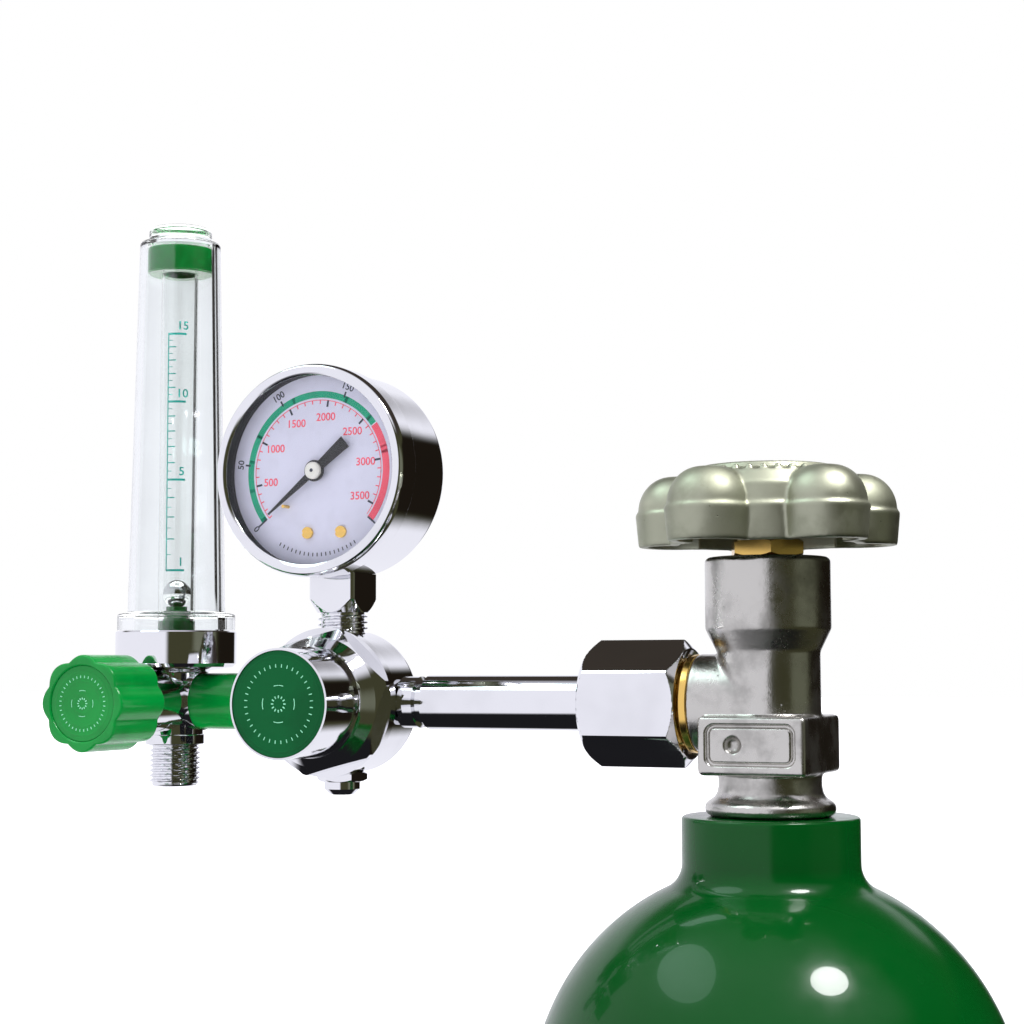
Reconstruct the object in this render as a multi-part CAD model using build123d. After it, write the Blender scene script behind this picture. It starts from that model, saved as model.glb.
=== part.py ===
from build123d import *
import math
import os

# Medical oxygen cylinder with a nipple-and-nut regulator and a flowmeter.
# Millimetres. +Z is up, along the cylinder's axis. The origin is the centre of the
# cylinder's base, on the floor. The regulator stands off towards -X and faces -Y.

os.makedirs("parts", exist_ok=True)

# ---------------------------------------------------------------- driving dimensions

FIT = 0.05  # radial clearance of a running fit
GAP = 0.3  # clearance between pieces that move past each other

# Cylinder
CYLINDER_R = 60.0
CYLINDER_WALL = 4.0
NECK_TOP = 470.0
NECK_R = 22.0
DOME_CENTRE = NECK_TOP - 71.9
NECK_FILLET = 7.0
NECK_THREAD_R = 13.0
NECK_THREAD_DEPTH = 26.0
BASE_RING_R = 48.0
BASE_HOLLOW = 4.0
BASE_THICKNESS = 8.0
BASE_EDGE = 10.0

# Valve, measured from the axis of its side outlet
STEM_Z = NECK_TOP + 27.5
COLUMN_R = 12.8
COLLAR_R = 15.6
COLLAR_BOTTOM = 18.5
COLLAR_TOP = 36.5
FOOT_R = 16.2
BLOCK_X = 27.2
BLOCK_Y = 32.8
BLOCK_TOP = -2.7
BLOCK_BOTTOM = -17.1
OUTLET_BARREL_R = 12.5
OUTLET_FACE = 17.8
PLUG_R = 6.9
PLUG_SEAT_Z = -3.0
GLAND_THREAD_R = 8.0
GLAND_BOTTOM = 22.2
SPINDLE_R = 4.0
SPINDLE_COLLAR_Z = 15.6
SPINDLE_SQUARE = 6.4

# Handwheel
WHEEL_BOTTOM = 39.6
WHEEL_SHOULDER = 48.4
WHEEL_TOP = 59.3
WHEEL_BODY_R = 25.0
WHEEL_LOBES = 5
WHEEL_LOBE_R = 10.9
WHEEL_LOBE_CENTRE = 23.6
WHEEL_LOBE_TOP = 58.0
WHEEL_TURN = 106.7  # direction of the rear lobe

# Outlet connection, measured from the valve's axis towards -X
OUTLET_THREAD_R = 11.47
OUTLET_END = 37.0
NUT_FLATS = 28.5
NUT_START = 20.4
NUT_END = 46.3
NUT_WALL = 3.5
WASHER_THICKNESS = 1.2
NIPPLE_R = 7.2
NIPPLE_SHOULDER_R = 10.4

# Regulator: its axis points to -Y
REGULATOR_X = -121.0
REGULATOR_BACK = -9.2
REGULATOR_JOINT = 6.2
REGULATOR_R = 19.5
FLANGE_R = 20.1
FLANGE_FRONT = 9.7
BONNET_FLATS = 35.4
BARREL_R = 14.45
LABEL_FRONT = 34.2
LABEL_R = 13.9
SPOTFACE_Z = 18.9

# Gauge
GAUGE_Z = STEM_Z + 62.15
GAUGE_R = 28.0
GAUGE_BEZEL_R = 28.7
GAUGE_BACK = -7.4
GAUGE_FRONT = 20.5
CASE_WALL = 1.2
CASE_WALL_BACK = GAUGE_BACK + CASE_WALL
DIAL_FACE = 14.0
SOCKET_SQUARE = 14.0
SOCKET_BOTTOM = 24.2
SOCKET_HEAD = 48.5
SOCKET_THREAD_R = 6.85
SOCKET_PORT_R = 5.9
POINTER_LENGTH = 18.2
POINTER_ZERO = 128.4  # degrees either side of the top
GEAR_MODULE = 0.4
PINION_TEETH = 10
SECTOR_TEETH = 45
SECTOR_DISTANCE = (PINION_TEETH + SECTOR_TEETH) * GEAR_MODULE / 2
SECTOR_REST = 28.0  # degrees that the sector's middle leans over at zero
DIAL_SCREW_PLACES = [(-2.8, -16.6), (7.4, -16.6)]
STOP_PIN_RADIUS = 13.0
STOP_PIN_ANGLE = -POINTER_ZERO - 7.5

# Flowmeter
METER_X = -175.4
METER_BASE_R = 17.1
METER_BASE_TOP = 19.8
METER_BASE_BOTTOM = 10.2
COVER_FLANGE_R = 16.65
COVER_FLANGE_TOP = 24.75
COVER_FOOT_R = 13.8
COVER_SHOULDER_R = 11.55
COVER_SHOULDER = 131.9
COVER_TOP = 136.5
COVER_CAP_R = 9.0
COVER_WALL = 1.8
COVER_SPIGOT_R = 14.2
TUBE_R = 5.27
TUBE_FOOT = 16.0
TUBE_HEAD = 126.0
BALL_R = 3.95
BALL_REST = 30.5
KNOB_FRONT = 44.1
KNOB_BACK = 24.0
KNOB_R = 12.9
KNOB_LOBES = 8
KNOB_LOBE_DEPTH = 1.1
KNOB_INSERT_R = 10.1
SLEEVE_R = 7.85
SLEEVE_START = -165.9
SLEEVE_CLEAR = 20.3  # where the sleeve begins, from the regulator's axis
OUTLET_R = 7.14
OUTLET_COLLAR = -9.4
OUTLET_BOTTOM = -24.0

AT_VALVE = Pos(0, 0, STEM_Z)
AT_OUTLET = AT_VALVE * Rot(0, -90, 0)  # own +Z points to -X, own +X points up
AT_REGULATOR = Pos(REGULATOR_X, 0, STEM_Z) * Rot(90, 0, 0)  # own +Z points to -Y, own +Y up
AT_REGULATOR_UPRIGHT = Pos(REGULATOR_X, 0, STEM_Z)
AT_GAUGE = Pos(REGULATOR_X, 0, GAUGE_Z) * Rot(90, 0, 0)
AT_METER = Pos(METER_X, 0, STEM_Z)
AT_KNOB = AT_METER * Rot(90, 0, 0)


# ---------------------------------------------------------------- helpers


def turned(points, rounds=None):
    """A solid turned about Z from a closed outline of (radius, height) points.
    rounds gives the fillet radius of a point by its number."""
    outline = Polygon(*points, align=None)
    for number, radius in (rounds or {}).items():
        spot = Vector(*points[number])
        corner = outline.vertices().sort_by_distance(spot)[0]
        outline = fillet(corner, radius)
    return revolve(Plane.XZ * outline, Axis.Z)


def rod(radius, low, high):
    """A round rod about Z between two heights."""
    return Pos(0, 0, low) * Cylinder(radius, high - low, align=(Align.CENTER, Align.CENTER, Align.MIN))


def ring(outer, inner, low, high):
    """A plain ring about Z between two heights."""
    return rod(outer, low, high) - rod(inner, low - 1, high + 1)


def block(size_x, size_y, low, high):
    """A rectangular bar about Z between two heights."""
    return Pos(0, 0, (low + high) / 2) * Box(size_x, size_y, high - low)


def hexagon(flats, low, high, turn=0):
    """A hexagonal bar about Z with its corners turned down at both ends."""
    corner = flats / math.sqrt(3)
    bevel = corner - 0.97 * flats / 2
    rise = bevel * math.tan(math.radians(30))
    bar = extrude(RegularPolygon(flats / 2, 6, major_radius=False, rotation=turn), high - low)
    envelope = turned(
        [
            (0, 0),
            (corner - bevel, 0),
            (corner, rise),
            (corner, high - low - rise),
            (corner - bevel, high - low),
            (0, high - low),
        ]
    )
    return Pos(0, 0, low) * (bar & envelope)


def coil(mean_r, wire, low, high, turns):
    """A compression spring about Z whose wire stays between two heights."""
    height = high - low - wire
    path = Helix(pitch=height / turns, height=height, radius=mean_r)
    section = Plane(origin=path @ 0, z_dir=path % 0) * Circle(wire / 2)
    return Pos(0, 0, low + wire / 2) * sweep(section, path=path)


def gear(teeth, module, low, high, keep=None):
    """A spur gear about Z with straight-sided teeth, the first centred on +X.
    keep limits it to the teeth within that many of the first."""
    pitch_r = teeth * module / 2
    root_r = pitch_r - 1.25 * module
    tip_r = pitch_r + 0.85 * module
    root_half = 1.05 * module
    tip_half = 0.38 * module
    tooth = Polygon(
        (root_r - module, -root_half),
        (root_r, -root_half),
        (tip_r, -tip_half),
        (tip_r, tip_half),
        (root_r, root_half),
        (root_r - module, root_half),
        align=None,
    )
    chosen = range(teeth) if keep is None else range(-keep, keep + 1)
    return [
        Pos(0, 0, low) * Rot(0, 0, 360 * number / teeth) * extrude(tooth, high - low)
        for number in chosen
    ], root_r


def point_on(centre, radius, angle):
    """The point of a circle at an angle in degrees from its +X side."""
    turn = math.radians(angle)
    return centre[0] + radius * math.cos(turn), centre[1] + radius * math.sin(turn)


# ---------------------------------------------------------------- cylinder


def cylinder_shell():
    """A seamless steel shell: neck, round shoulder, straight wall and hollow base."""
    dome = (0, DOME_CENTRE)
    bend_x = NECK_R + NECK_FILLET
    bend_rise = math.sqrt((CYLINDER_R + NECK_FILLET) ** 2 - bend_x**2)
    bend = (bend_x, DOME_CENTRE + bend_rise)
    lean = math.degrees(math.atan2(bend_rise, bend_x))
    shoulder = point_on(dome, CYLINDER_R, lean)
    edge = (CYLINDER_R - BASE_EDGE, BASE_EDGE)
    outline = make_face(
        [
            Line((0, 0), (CYLINDER_R - BASE_EDGE, 0)),
            ThreePointArc(
                (CYLINDER_R - BASE_EDGE, 0), point_on(edge, BASE_EDGE, -45), (CYLINDER_R, BASE_EDGE)
            ),
            Line((CYLINDER_R, BASE_EDGE), (CYLINDER_R, DOME_CENTRE)),
            ThreePointArc((CYLINDER_R, DOME_CENTRE), point_on(dome, CYLINDER_R, lean / 2), shoulder),
            ThreePointArc(
                shoulder, point_on(bend, NECK_FILLET, (540 + lean) / 2 - 90), (NECK_R, bend[1])
            ),
            Line((NECK_R, bend[1]), (NECK_R, NECK_TOP - 1)),
            Line((NECK_R, NECK_TOP - 1), (NECK_R - 1, NECK_TOP)),
            Line((NECK_R - 1, NECK_TOP), (0, NECK_TOP)),
            Line((0, NECK_TOP), (0, 0)),
        ]
    )
    body = revolve(Plane.XZ * outline, Axis.Z)
    inner_r = CYLINDER_R - CYLINDER_WALL
    floor = BASE_HOLLOW + BASE_THICKNESS
    cavity = turned(
        [(0, floor), (inner_r, floor), (inner_r, DOME_CENTRE), (0, DOME_CENTRE)], {1: 2 * BASE_EDGE}
    )
    cavity = cavity + Pos(0, 0, DOME_CENTRE) * Sphere(inner_r)
    hollow_r = (BASE_RING_R**2 + BASE_HOLLOW**2) / (2 * BASE_HOLLOW)
    hollow = Pos(0, 0, BASE_HOLLOW - hollow_r) * Sphere(hollow_r)
    bore = rod(NECK_THREAD_R, DOME_CENTRE, NECK_TOP + 1)
    return body - cavity - hollow - bore


# ---------------------------------------------------------------- cylinder valve


def valve_body():
    """A forged body: taper shank, foot, column, side barrel, square block and collar."""
    foot = NECK_TOP - STEM_Z
    shank_end = foot - NECK_THREAD_DEPTH
    profile = [
        (0, shank_end),
        (NECK_THREAD_R - 1.5, shank_end),
        (NECK_THREAD_R, shank_end + 3),
        (NECK_THREAD_R, foot),
        (FOOT_R - 1.0, foot),
        (FOOT_R, foot + 1.5),
        (FOOT_R - 0.4, foot + 3.2),
        (COLUMN_R + 0.4, foot + 6.4),
        (COLUMN_R, BLOCK_BOTTOM),
        (COLUMN_R, 13.4),
        (COLLAR_R, COLLAR_BOTTOM),
        (COLLAR_R, COLLAR_TOP - 0.9),
        (COLLAR_R - 0.9, COLLAR_TOP),
        (0, COLLAR_TOP),
    ]
    body = turned(profile, {5: 0.8, 6: 0.8, 7: 4.0, 9: 1.0, 10: 0.8})
    base_block = block(BLOCK_X, BLOCK_Y, BLOCK_BOTTOM, BLOCK_TOP)
    base_block = fillet(base_block.edges(), 1.2)
    recess_depth = 1.0
    recess = Pos(-0.2, -BLOCK_Y / 2, -9.7) * Rot(90, 0, 0) * extrude(
        RectangleRounded(22.3, 10.0, 2.6), recess_depth, both=True
    )
    dimple = Pos(-4.5, -BLOCK_Y / 2 + recess_depth, -9.6) * Sphere(2.2)
    barrel = Rot(0, -90, 0) * rod(OUTLET_BARREL_R, 0, OUTLET_FACE)
    barrel = fillet(barrel.edges().group_by(Axis.X)[0], 1.0)
    body = body + base_block + barrel - recess - dimple
    gland_bore = rod(GLAND_THREAD_R, 18.9, COLLAR_TOP + 1)
    plug_bore = rod(PLUG_R + FIT, 3.2, 19)
    chamber = rod(6.0, PLUG_SEAT_Z, 3.3)
    inlet = rod(2.4, shank_end - 1, PLUG_SEAT_Z + 0.1)
    outlet = Rot(0, -90, 0) * rod(3.0, 0, OUTLET_FACE + 1)
    return AT_VALVE * (body - gland_bore - plug_bore - chamber - inlet - outlet)


def valve_outlet():
    """The bare brass outlet with its screw thread and conical seat."""
    seat_mouth = 8.6
    outer = turned(
        [
            (0, OUTLET_FACE),
            (12.4, OUTLET_FACE),
            (12.4, OUTLET_FACE + 2.0),
            (10.4, OUTLET_FACE + 2.6),
            (10.4, OUTLET_FACE + 3.6),
            (OUTLET_THREAD_R, OUTLET_FACE + 4.6),
            (OUTLET_THREAD_R, OUTLET_END - 1),
            (OUTLET_THREAD_R - 1, OUTLET_END),
            (0, OUTLET_END),
        ]
    )
    seat = turned([(0, 27), (3.0, 27), (seat_mouth, OUTLET_END + 0.1), (0, OUTLET_END + 0.1)])
    return AT_OUTLET * (outer - seat - rod(3.0, OUTLET_FACE - 1, 28))


def gland_nut():
    """The brass gland nut that holds the spindle and its packing in the valve."""
    head = hexagon(17.0, COLLAR_TOP, 41.0, turn=-8)
    thread = rod(GLAND_THREAD_R, GLAND_BOTTOM, COLLAR_TOP)
    return AT_VALVE * (head + thread - rod(SPINDLE_R + FIT, 20, 42))


def packing():
    """The soft packing ring that seals the spindle."""
    return AT_VALVE * ring(GLAND_THREAD_R, SPINDLE_R + FIT, 18.9, GLAND_BOTTOM)


def valve_spindle():
    """The upper spindle: thrust collar, tang that turns the plug, square and thread."""
    collar = rod(PLUG_R - 0.2, SPINDLE_COLLAR_Z, 18.7)
    shaft = rod(SPINDLE_R, 18.7, 44.0)
    tang = block(9.0, 2.0, SPINDLE_COLLAR_Z - 5.8, SPINDLE_COLLAR_Z)
    square = block(SPINDLE_SQUARE, SPINDLE_SQUARE, 44.0, 51.0) & rod(4.2, 44.0, 51.0)
    tip = rod(2.5, 51.0, 58.4)
    return AT_VALVE * (collar + shaft + tang + square + tip)


def lower_plug():
    """The threaded plug that screws down on the seat, slotted for the spindle's tang."""
    thread = rod(PLUG_R, 3.5, 12.0)
    nose = rod(4.5, PLUG_SEAT_Z + 2.0, 3.5)
    slot = block(9.4, 2.4, 6.2, 12.1)
    return AT_VALVE * (thread + nose - slot - rod(3.0, PLUG_SEAT_Z + 1, PLUG_SEAT_Z + 4))


def plug_seat():
    """The nylon seat pressed into the plug's nose."""
    return AT_VALVE * rod(3.0, PLUG_SEAT_Z + 0.05, PLUG_SEAT_Z + 4)


def handwheel():
    """A hollow cast wheel: a domed middle and five domed lobes with a drafted skirt."""
    draft = 0.9
    middle = turned(
        [
            (0, WHEEL_BOTTOM),
            (WHEEL_BODY_R - draft, WHEEL_BOTTOM),
            (WHEEL_BODY_R, WHEEL_SHOULDER),
            (WHEEL_BODY_R - 1.2, 54.6),
            (20.0, 58.6),
            (14.0, WHEEL_TOP),
            (0, WHEEL_TOP),
        ],
        {3: 3.0, 4: 2.0},
    )
    rise = WHEEL_LOBE_TOP - WHEEL_SHOULDER
    flat_r = WHEEL_LOBE_R - rise
    crown = (flat_r, WHEEL_SHOULDER)
    lobe_outline = make_face(
        [
            Line((0, WHEEL_BOTTOM), (WHEEL_LOBE_R - draft, WHEEL_BOTTOM)),
            Line((WHEEL_LOBE_R - draft, WHEEL_BOTTOM), (WHEEL_LOBE_R, WHEEL_SHOULDER)),
            ThreePointArc(
                (WHEEL_LOBE_R, WHEEL_SHOULDER), point_on(crown, rise, 45), (flat_r, WHEEL_LOBE_TOP)
            ),
            Line((flat_r, WHEEL_LOBE_TOP), (0, WHEEL_LOBE_TOP)),
            Line((0, WHEEL_LOBE_TOP), (0, WHEEL_BOTTOM)),
        ]
    )
    dome = revolve(Plane.XZ * lobe_outline, Axis.Z)
    hollow = rod(WHEEL_LOBE_R - 3.2, WHEEL_BOTTOM - 1, 52.0)
    wheel = middle
    pocket = ring(WHEEL_BODY_R - 3.2, 8.5, WHEEL_BOTTOM - 1, 54.0)
    for number in range(WHEEL_LOBES):
        place = Rot(0, 0, WHEEL_TURN + 360 * number / WHEEL_LOBES) * Pos(WHEEL_LOBE_CENTRE, 0, 0)
        wheel = wheel + place * dome
        pocket = pocket + place * hollow
    wheel = wheel - pocket
    wheel = wheel - rod(9.0, WHEEL_BOTTOM - 1, 43.0)
    square = block(SPINDLE_SQUARE, SPINDLE_SQUARE, 43.9, 51.0) & rod(4.2, 43.9, 51.0)
    well = rod(8.0, 55.0, WHEEL_TOP + 1)
    return AT_VALVE * (wheel - rod(4.1, 42, 44.0) - square - rod(2.6, 50.9, 56) - well)


def handwheel_nut():
    """The nut and washer in the well on top of the wheel."""
    washer = ring(6.5, 2.5, 55.0, 55.8)
    nut = hexagon(8.0, 55.8, 58.0) - rod(2.5, 55, 59)
    return AT_VALVE * (washer + nut)


# ---------------------------------------------------------------- union


def union_nut():
    """The hexagonal union nut, bored for the outlet's thread."""
    body = hexagon(NUT_FLATS, NUT_START, NUT_END)
    thread = rod(OUTLET_THREAD_R + FIT, NUT_START - 1, NUT_END - NUT_WALL)
    mouth = turned(
        [
            (0, NUT_START - 1),
            (OUTLET_THREAD_R + 2.4, NUT_START - 1),
            (OUTLET_THREAD_R, NUT_START + 1.2),
            (0, NUT_START + 1.2),
        ]
    )
    return AT_OUTLET * (body - thread - mouth - rod(NIPPLE_R + GAP, NUT_START, NUT_END + 1))


def thrust_washer():
    """The washer on which the nut turns as it pushes the nipple home."""
    back = NUT_END - NUT_WALL - FIT
    return AT_OUTLET * ring(
        OUTLET_THREAD_R - GAP, NIPPLE_R + FIT, back - WASHER_THICKNESS, back
    )


def inlet_nipple():
    """The regulator's stem: bullet nose, shoulder, stem and a threaded end with its collar."""
    shoulder_end = NUT_END - NUT_WALL - FIT - WASHER_THICKNESS - FIT
    stem_end = -REGULATOR_X - 14.0
    stem = turned(
        [
            (0, 29.5),
            (4.2, 29.5),
            (7.9, 36.2),
            (7.9, 37.6),
            (NIPPLE_SHOULDER_R, 38.0),
            (NIPPLE_SHOULDER_R, shoulder_end),
            (NIPPLE_R, shoulder_end),
            (NIPPLE_R, 94.0),
            (5.9, 94.6),
            (5.9, 96.0),
            (6.9, 96.6),
            (6.9, 101.4),
            (6.0, 101.4),
            (6.0, stem_end),
            (0, stem_end),
        ],
        {1: 1.5, 2: 1.0},
    )
    return AT_OUTLET * (stem - rod(2.2, 36.0, stem_end + 1) - rod(3.2, 29, 36.1))


def inlet_filter():
    """The sintered bronze filter in the nipple's nose."""
    return AT_OUTLET * rod(3.2, 30.2, 36.0)


# ---------------------------------------------------------------- regulator


def regulator_body():
    """The turned body, bored for the nipple, the gauge, the relief valve and the meter."""
    body = turned(
        [
            (0, REGULATOR_BACK),
            (REGULATOR_R, REGULATOR_BACK),
            (REGULATOR_R, REGULATOR_JOINT),
            (0, REGULATOR_JOINT),
        ],
        {1: 3.0},
    )
    chamber = rod(13.5, 3.0, REGULATOR_JOINT + 1)
    seat_bore = rod(5.0, -0.1, 3.1)
    poppet_bore = rod(3.6, -7.0, 0)
    body = AT_REGULATOR * (body - chamber - seat_bore - poppet_bore)
    upright = AT_REGULATOR_UPRIGHT
    gauge_port = upright * rod(SOCKET_PORT_R, 12.0, 30)
    gauge_flat = upright * rod(8.6, SPOTFACE_Z, 30)
    relief_port = upright * rod(4.6, -30, -12.0)
    relief_flat = upright * rod(7.8, -30, -SPOTFACE_Z)
    passage = upright * rod(1.2, -12.5, 12.5)
    inlet = AT_OUTLET * rod(6.0, 100, -REGULATOR_X - 14.0)
    inlet_flat = AT_OUTLET * rod(7.2, 98, 101.4)
    inlet_passage = AT_OUTLET * rod(1.2, -REGULATOR_X - 14.1, -REGULATOR_X)
    tube = AT_OUTLET * rod(5.0, -REGULATOR_X + 13.0, -REGULATOR_X + 30)
    tube_flat = AT_OUTLET * rod(8.6, -REGULATOR_X + 18.8, -REGULATOR_X + 30)
    body = body - gauge_port - gauge_flat - relief_port - relief_flat - passage
    return body - inlet - inlet_flat - inlet_passage - tube - tube_flat


def bonnet():
    """The front housing: round flange, hexagon, barrel and a rim for the label."""
    shell = turned(
        [
            (0, REGULATOR_JOINT),
            (18.6, REGULATOR_JOINT),
            (18.6, REGULATOR_JOINT + 0.7),
            (FLANGE_R, REGULATOR_JOINT + 0.7),
            (FLANGE_R, 11.4),
            (BONNET_FLATS / 2 - 0.2, 13.6),
            (BARREL_R, 17.2),
            (BARREL_R, LABEL_FRONT),
            (0, LABEL_FRONT),
        ],
        {6: 2.5},
    )
    flats = extrude(RegularPolygon(BONNET_FLATS / 2, 6, major_radius=False, rotation=15), 8.0)
    flat_cut = ring(FLANGE_R + 2, 0.1, FLANGE_FRONT, 14.5)
    flat_cut = flat_cut - Pos(0, 0, FLANGE_FRONT - 1) * flats
    shell = shell - flat_cut
    clamp = rod(16.2, REGULATOR_JOINT - 1, REGULATOR_JOINT + 1.0)
    spring_room = rod(10.6, REGULATOR_JOINT, 28.4)
    screw_hole = rod(4.0, 28, 31.0)
    label_seat = rod(LABEL_R, 30.9, LABEL_FRONT + 1)
    return AT_REGULATOR * (shell - clamp - spring_room - screw_hole - label_seat)


def label_cap():
    """The green disc that closes the barrel over the adjusting screw."""
    disc = rod(LABEL_R, 33.2, LABEL_FRONT - 0.3)
    skirt = ring(LABEL_R, LABEL_R - 1.5, 31.2, 33.2)
    return AT_REGULATOR * (disc + skirt)


def adjusting_screw():
    """The grub screw that sets the main spring, with its screwdriver slot."""
    screw = rod(4.0, 25.0, 31.6)
    slot = block(9.0, 1.0, 30.4, 32.0)
    return AT_REGULATOR * (screw - slot)


def spring_button():
    """The cup between the adjusting screw and the main spring."""
    cup = rod(9.6, 22.4, 25.0)
    return AT_REGULATOR * (cup - rod(8.6, 22, 23.0))


def main_spring():
    """The heavy spring that loads the diaphragm."""
    return AT_REGULATOR * coil(7.0, 2.0, 9.1, 22.95, 4.5)


def diaphragm():
    """The rubber diaphragm, clamped between the body and the bonnet."""
    return AT_REGULATOR * ring(16.2, 2.6, REGULATOR_JOINT, REGULATOR_JOINT + 1.0)


def diaphragm_plate():
    """The backing plate with the post that pushes the poppet through the nozzle."""
    plate = rod(9.4, REGULATOR_JOINT + 1.02, 9.0)
    post = rod(2.5, 4.6, 8.0)
    pin = rod(0.7, 1.6, 4.6)
    return AT_REGULATOR * (plate + post + pin)


def nozzle():
    """The screwed-in nozzle whose rim the poppet closes."""
    return AT_REGULATOR * (rod(5.0, 0, 2.8) - rod(1.4, -1, 4))


def poppet():
    """The poppet with its soft face, held off the nozzle by the diaphragm's pin."""
    head = rod(2.9, -2.6, -0.7)
    stem = rod(0.9, -0.7, 1.55)
    tail = rod(1.2, -4.4, -2.6)
    return AT_REGULATOR * (head + stem + tail)


def poppet_spring():
    """The light spring behind the poppet."""
    return AT_REGULATOR * coil(2.1, 0.5, -6.95, -2.65, 4)


def relief_valve_body():
    """The relief valve's housing: thread, hexagon and vented cap."""
    thread = rod(4.6, -SPOTFACE_Z, -12.0)
    hexagon_part = hexagon(12.0, -21.6, -SPOTFACE_Z, turn=20)
    cap = turned([(0, -25.1), (3.2, -25.1), (4.9, -23.6), (4.9, -21.6), (0, -21.6)])
    bore = rod(3.2, -24.1, -14.0)
    inlet = rod(1.2, -14.1, -11)
    vent = rod(1.0, -26, -24)
    return AT_REGULATOR_UPRIGHT * (thread + hexagon_part + cap - bore - inlet - vent)


def relief_plunger():
    """The plunger that lifts when the pressure is too high."""
    return AT_REGULATOR_UPRIGHT * (rod(2.6, -16.6, -14.05) + rod(1.0, -18.5, -16.6))


def relief_spring():
    """The spring that closes the relief valve."""
    return AT_REGULATOR_UPRIGHT * coil(2.1, 0.6, -24.05, -16.65, 5)


# ---------------------------------------------------------------- contents gauge


def gauge_place(angle, radius):
    """A point of the dial's plane, angle in degrees clockwise from the top."""
    turn = math.radians(angle)
    return radius * math.sin(turn), radius * math.cos(turn)


def bourdon_solid(tube_r):
    """A round tube bent into a C about the gauge's axis, in the gauge's own frame."""
    bend_r = 18.0
    start = Plane(origin=(bend_r, 0, 0), x_dir=(1, 0, 0), z_dir=(0, 1, 0)) * Circle(tube_r)
    bend = revolve(start, Axis.Z, revolution_arc=250)
    return Pos(0, 0, 2.5) * Rot(0, 0, -66) * bend


def gauge_socket():
    """The square-shanked socket: pipe thread below, tube block inside the case."""
    drop = GAUGE_Z - STEM_Z
    taper = turned(
        [
            (0, 12.6),
            (SOCKET_PORT_R - 0.5, 12.6),
            (SOCKET_PORT_R, 13.4),
            (SOCKET_PORT_R, SPOTFACE_Z),
            (SOCKET_THREAD_R, SPOTFACE_Z + 0.2),
            (SOCKET_THREAD_R, SOCKET_BOTTOM),
            (0, SOCKET_BOTTOM),
        ]
    )
    shank = block(SOCKET_SQUARE, SOCKET_SQUARE, SOCKET_BOTTOM, SOCKET_HEAD)
    turned_end = turned([(0, SOCKET_BOTTOM), (7.2, SOCKET_BOTTOM), (10.5, 26.6), (10.5, 49), (0, 49)])
    socket = taper + (shank & turned_end) - rod(1.5, 12, 46)
    tube = Pos(0, 0, drop) * Rot(90, 0, 0) * bourdon_solid(2.2)
    behind = Pos(0, -CASE_WALL_BACK, 42.0) * Box(20, 10, 13.6, align=(Align.CENTER, Align.MIN, Align.CENTER))
    post = rod(1.6, 6.0, DIAL_FACE - 0.8) - rod(0.8, 10.9, DIAL_FACE)
    socket = AT_REGULATOR_UPRIGHT * (socket - tube - behind) - gauge_case()
    for x, y in DIAL_SCREW_PLACES:
        socket = socket + AT_GAUGE * Pos(x, y, 0) * post
    return socket


def gauge_case():
    """The drawn case, open at the front, with a slot for the socket."""
    shell = turned(
        [(0, GAUGE_BACK), (GAUGE_R, GAUGE_BACK), (GAUGE_R, 16.0), (0, 16.0)],
        {1: 2.5},
    )
    room = rod(GAUGE_R - CASE_WALL, CASE_WALL_BACK, 17)
    slot_depth = SOCKET_SQUARE / 2 - CASE_WALL_BACK
    slot = Pos(0, -GAUGE_R, CASE_WALL_BACK + slot_depth / 2) * Box(SOCKET_SQUARE, 16, slot_depth)
    return AT_GAUGE * (shell - room - slot)


def gauge_bezel():
    """The chrome ring that holds the lens on the case."""
    ring_outline = [
        (GAUGE_R, 12.0),
        (GAUGE_BEZEL_R, 12.0),
        (GAUGE_BEZEL_R, GAUGE_FRONT),
        (25.2, GAUGE_FRONT),
        (25.2, 19.6),
        (26.4, 19.6),
        (26.4, 16.0),
        (GAUGE_R, 16.0),
    ]
    return AT_GAUGE * turned(ring_outline, {2: 0.39})


def gauge_lens():
    """The clear window."""
    return AT_GAUGE * rod(26.4, 18.1, 19.6)


def gauge_dial():
    """The printed dial plate."""
    dial = rod(26.3, DIAL_FACE - 0.8, DIAL_FACE)
    dial = dial - rod(1.4, DIAL_FACE - 2, DIAL_FACE + 1)
    for x, y in DIAL_SCREW_PLACES:
        dial = dial - Pos(x, y, 0) * rod(0.8, DIAL_FACE - 2, DIAL_FACE + 1)
    x, y = gauge_place(STOP_PIN_ANGLE, STOP_PIN_RADIUS)
    return AT_GAUGE * (dial - Pos(x, y, 0) * rod(0.45, DIAL_FACE - 2, DIAL_FACE + 1))


def dial_screws():
    """The two small brass screws that hold the dial."""
    screw = rod(1.6, DIAL_FACE, DIAL_FACE + 0.8) + rod(0.8, 10.9, DIAL_FACE)
    screw = screw - block(4, 0.5, DIAL_FACE + 0.4, DIAL_FACE + 1)
    return AT_GAUGE * Compound([Pos(x, y, 0) * screw for x, y in DIAL_SCREW_PLACES])


def stop_pin():
    """The pin against which the pointer rests at zero."""
    x, y = gauge_place(STOP_PIN_ANGLE, STOP_PIN_RADIUS)
    return AT_GAUGE * Pos(x, y, 0) * rod(0.45, DIAL_FACE - 1.0, 17.0)


def gauge_pointer():
    """The needle with its boss and broad tail, at zero."""
    half_outline = [(0.22, POINTER_LENGTH), (0.95, 2.6), (1.25, -2.4), (1.8, -12.0)]
    mirrored = [(-x, y) for x, y in reversed(half_outline)]
    blade = extrude(Polygon(*half_outline, *mirrored, align=None), 0.4)
    boss = rod(2.9, 0, 0.4)
    blade = Pos(0, 0, 15.7) * (blade + boss) - rod(0.75, 15, 17)
    return AT_GAUGE * Rot(0, 0, POINTER_ZERO) * blade


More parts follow.
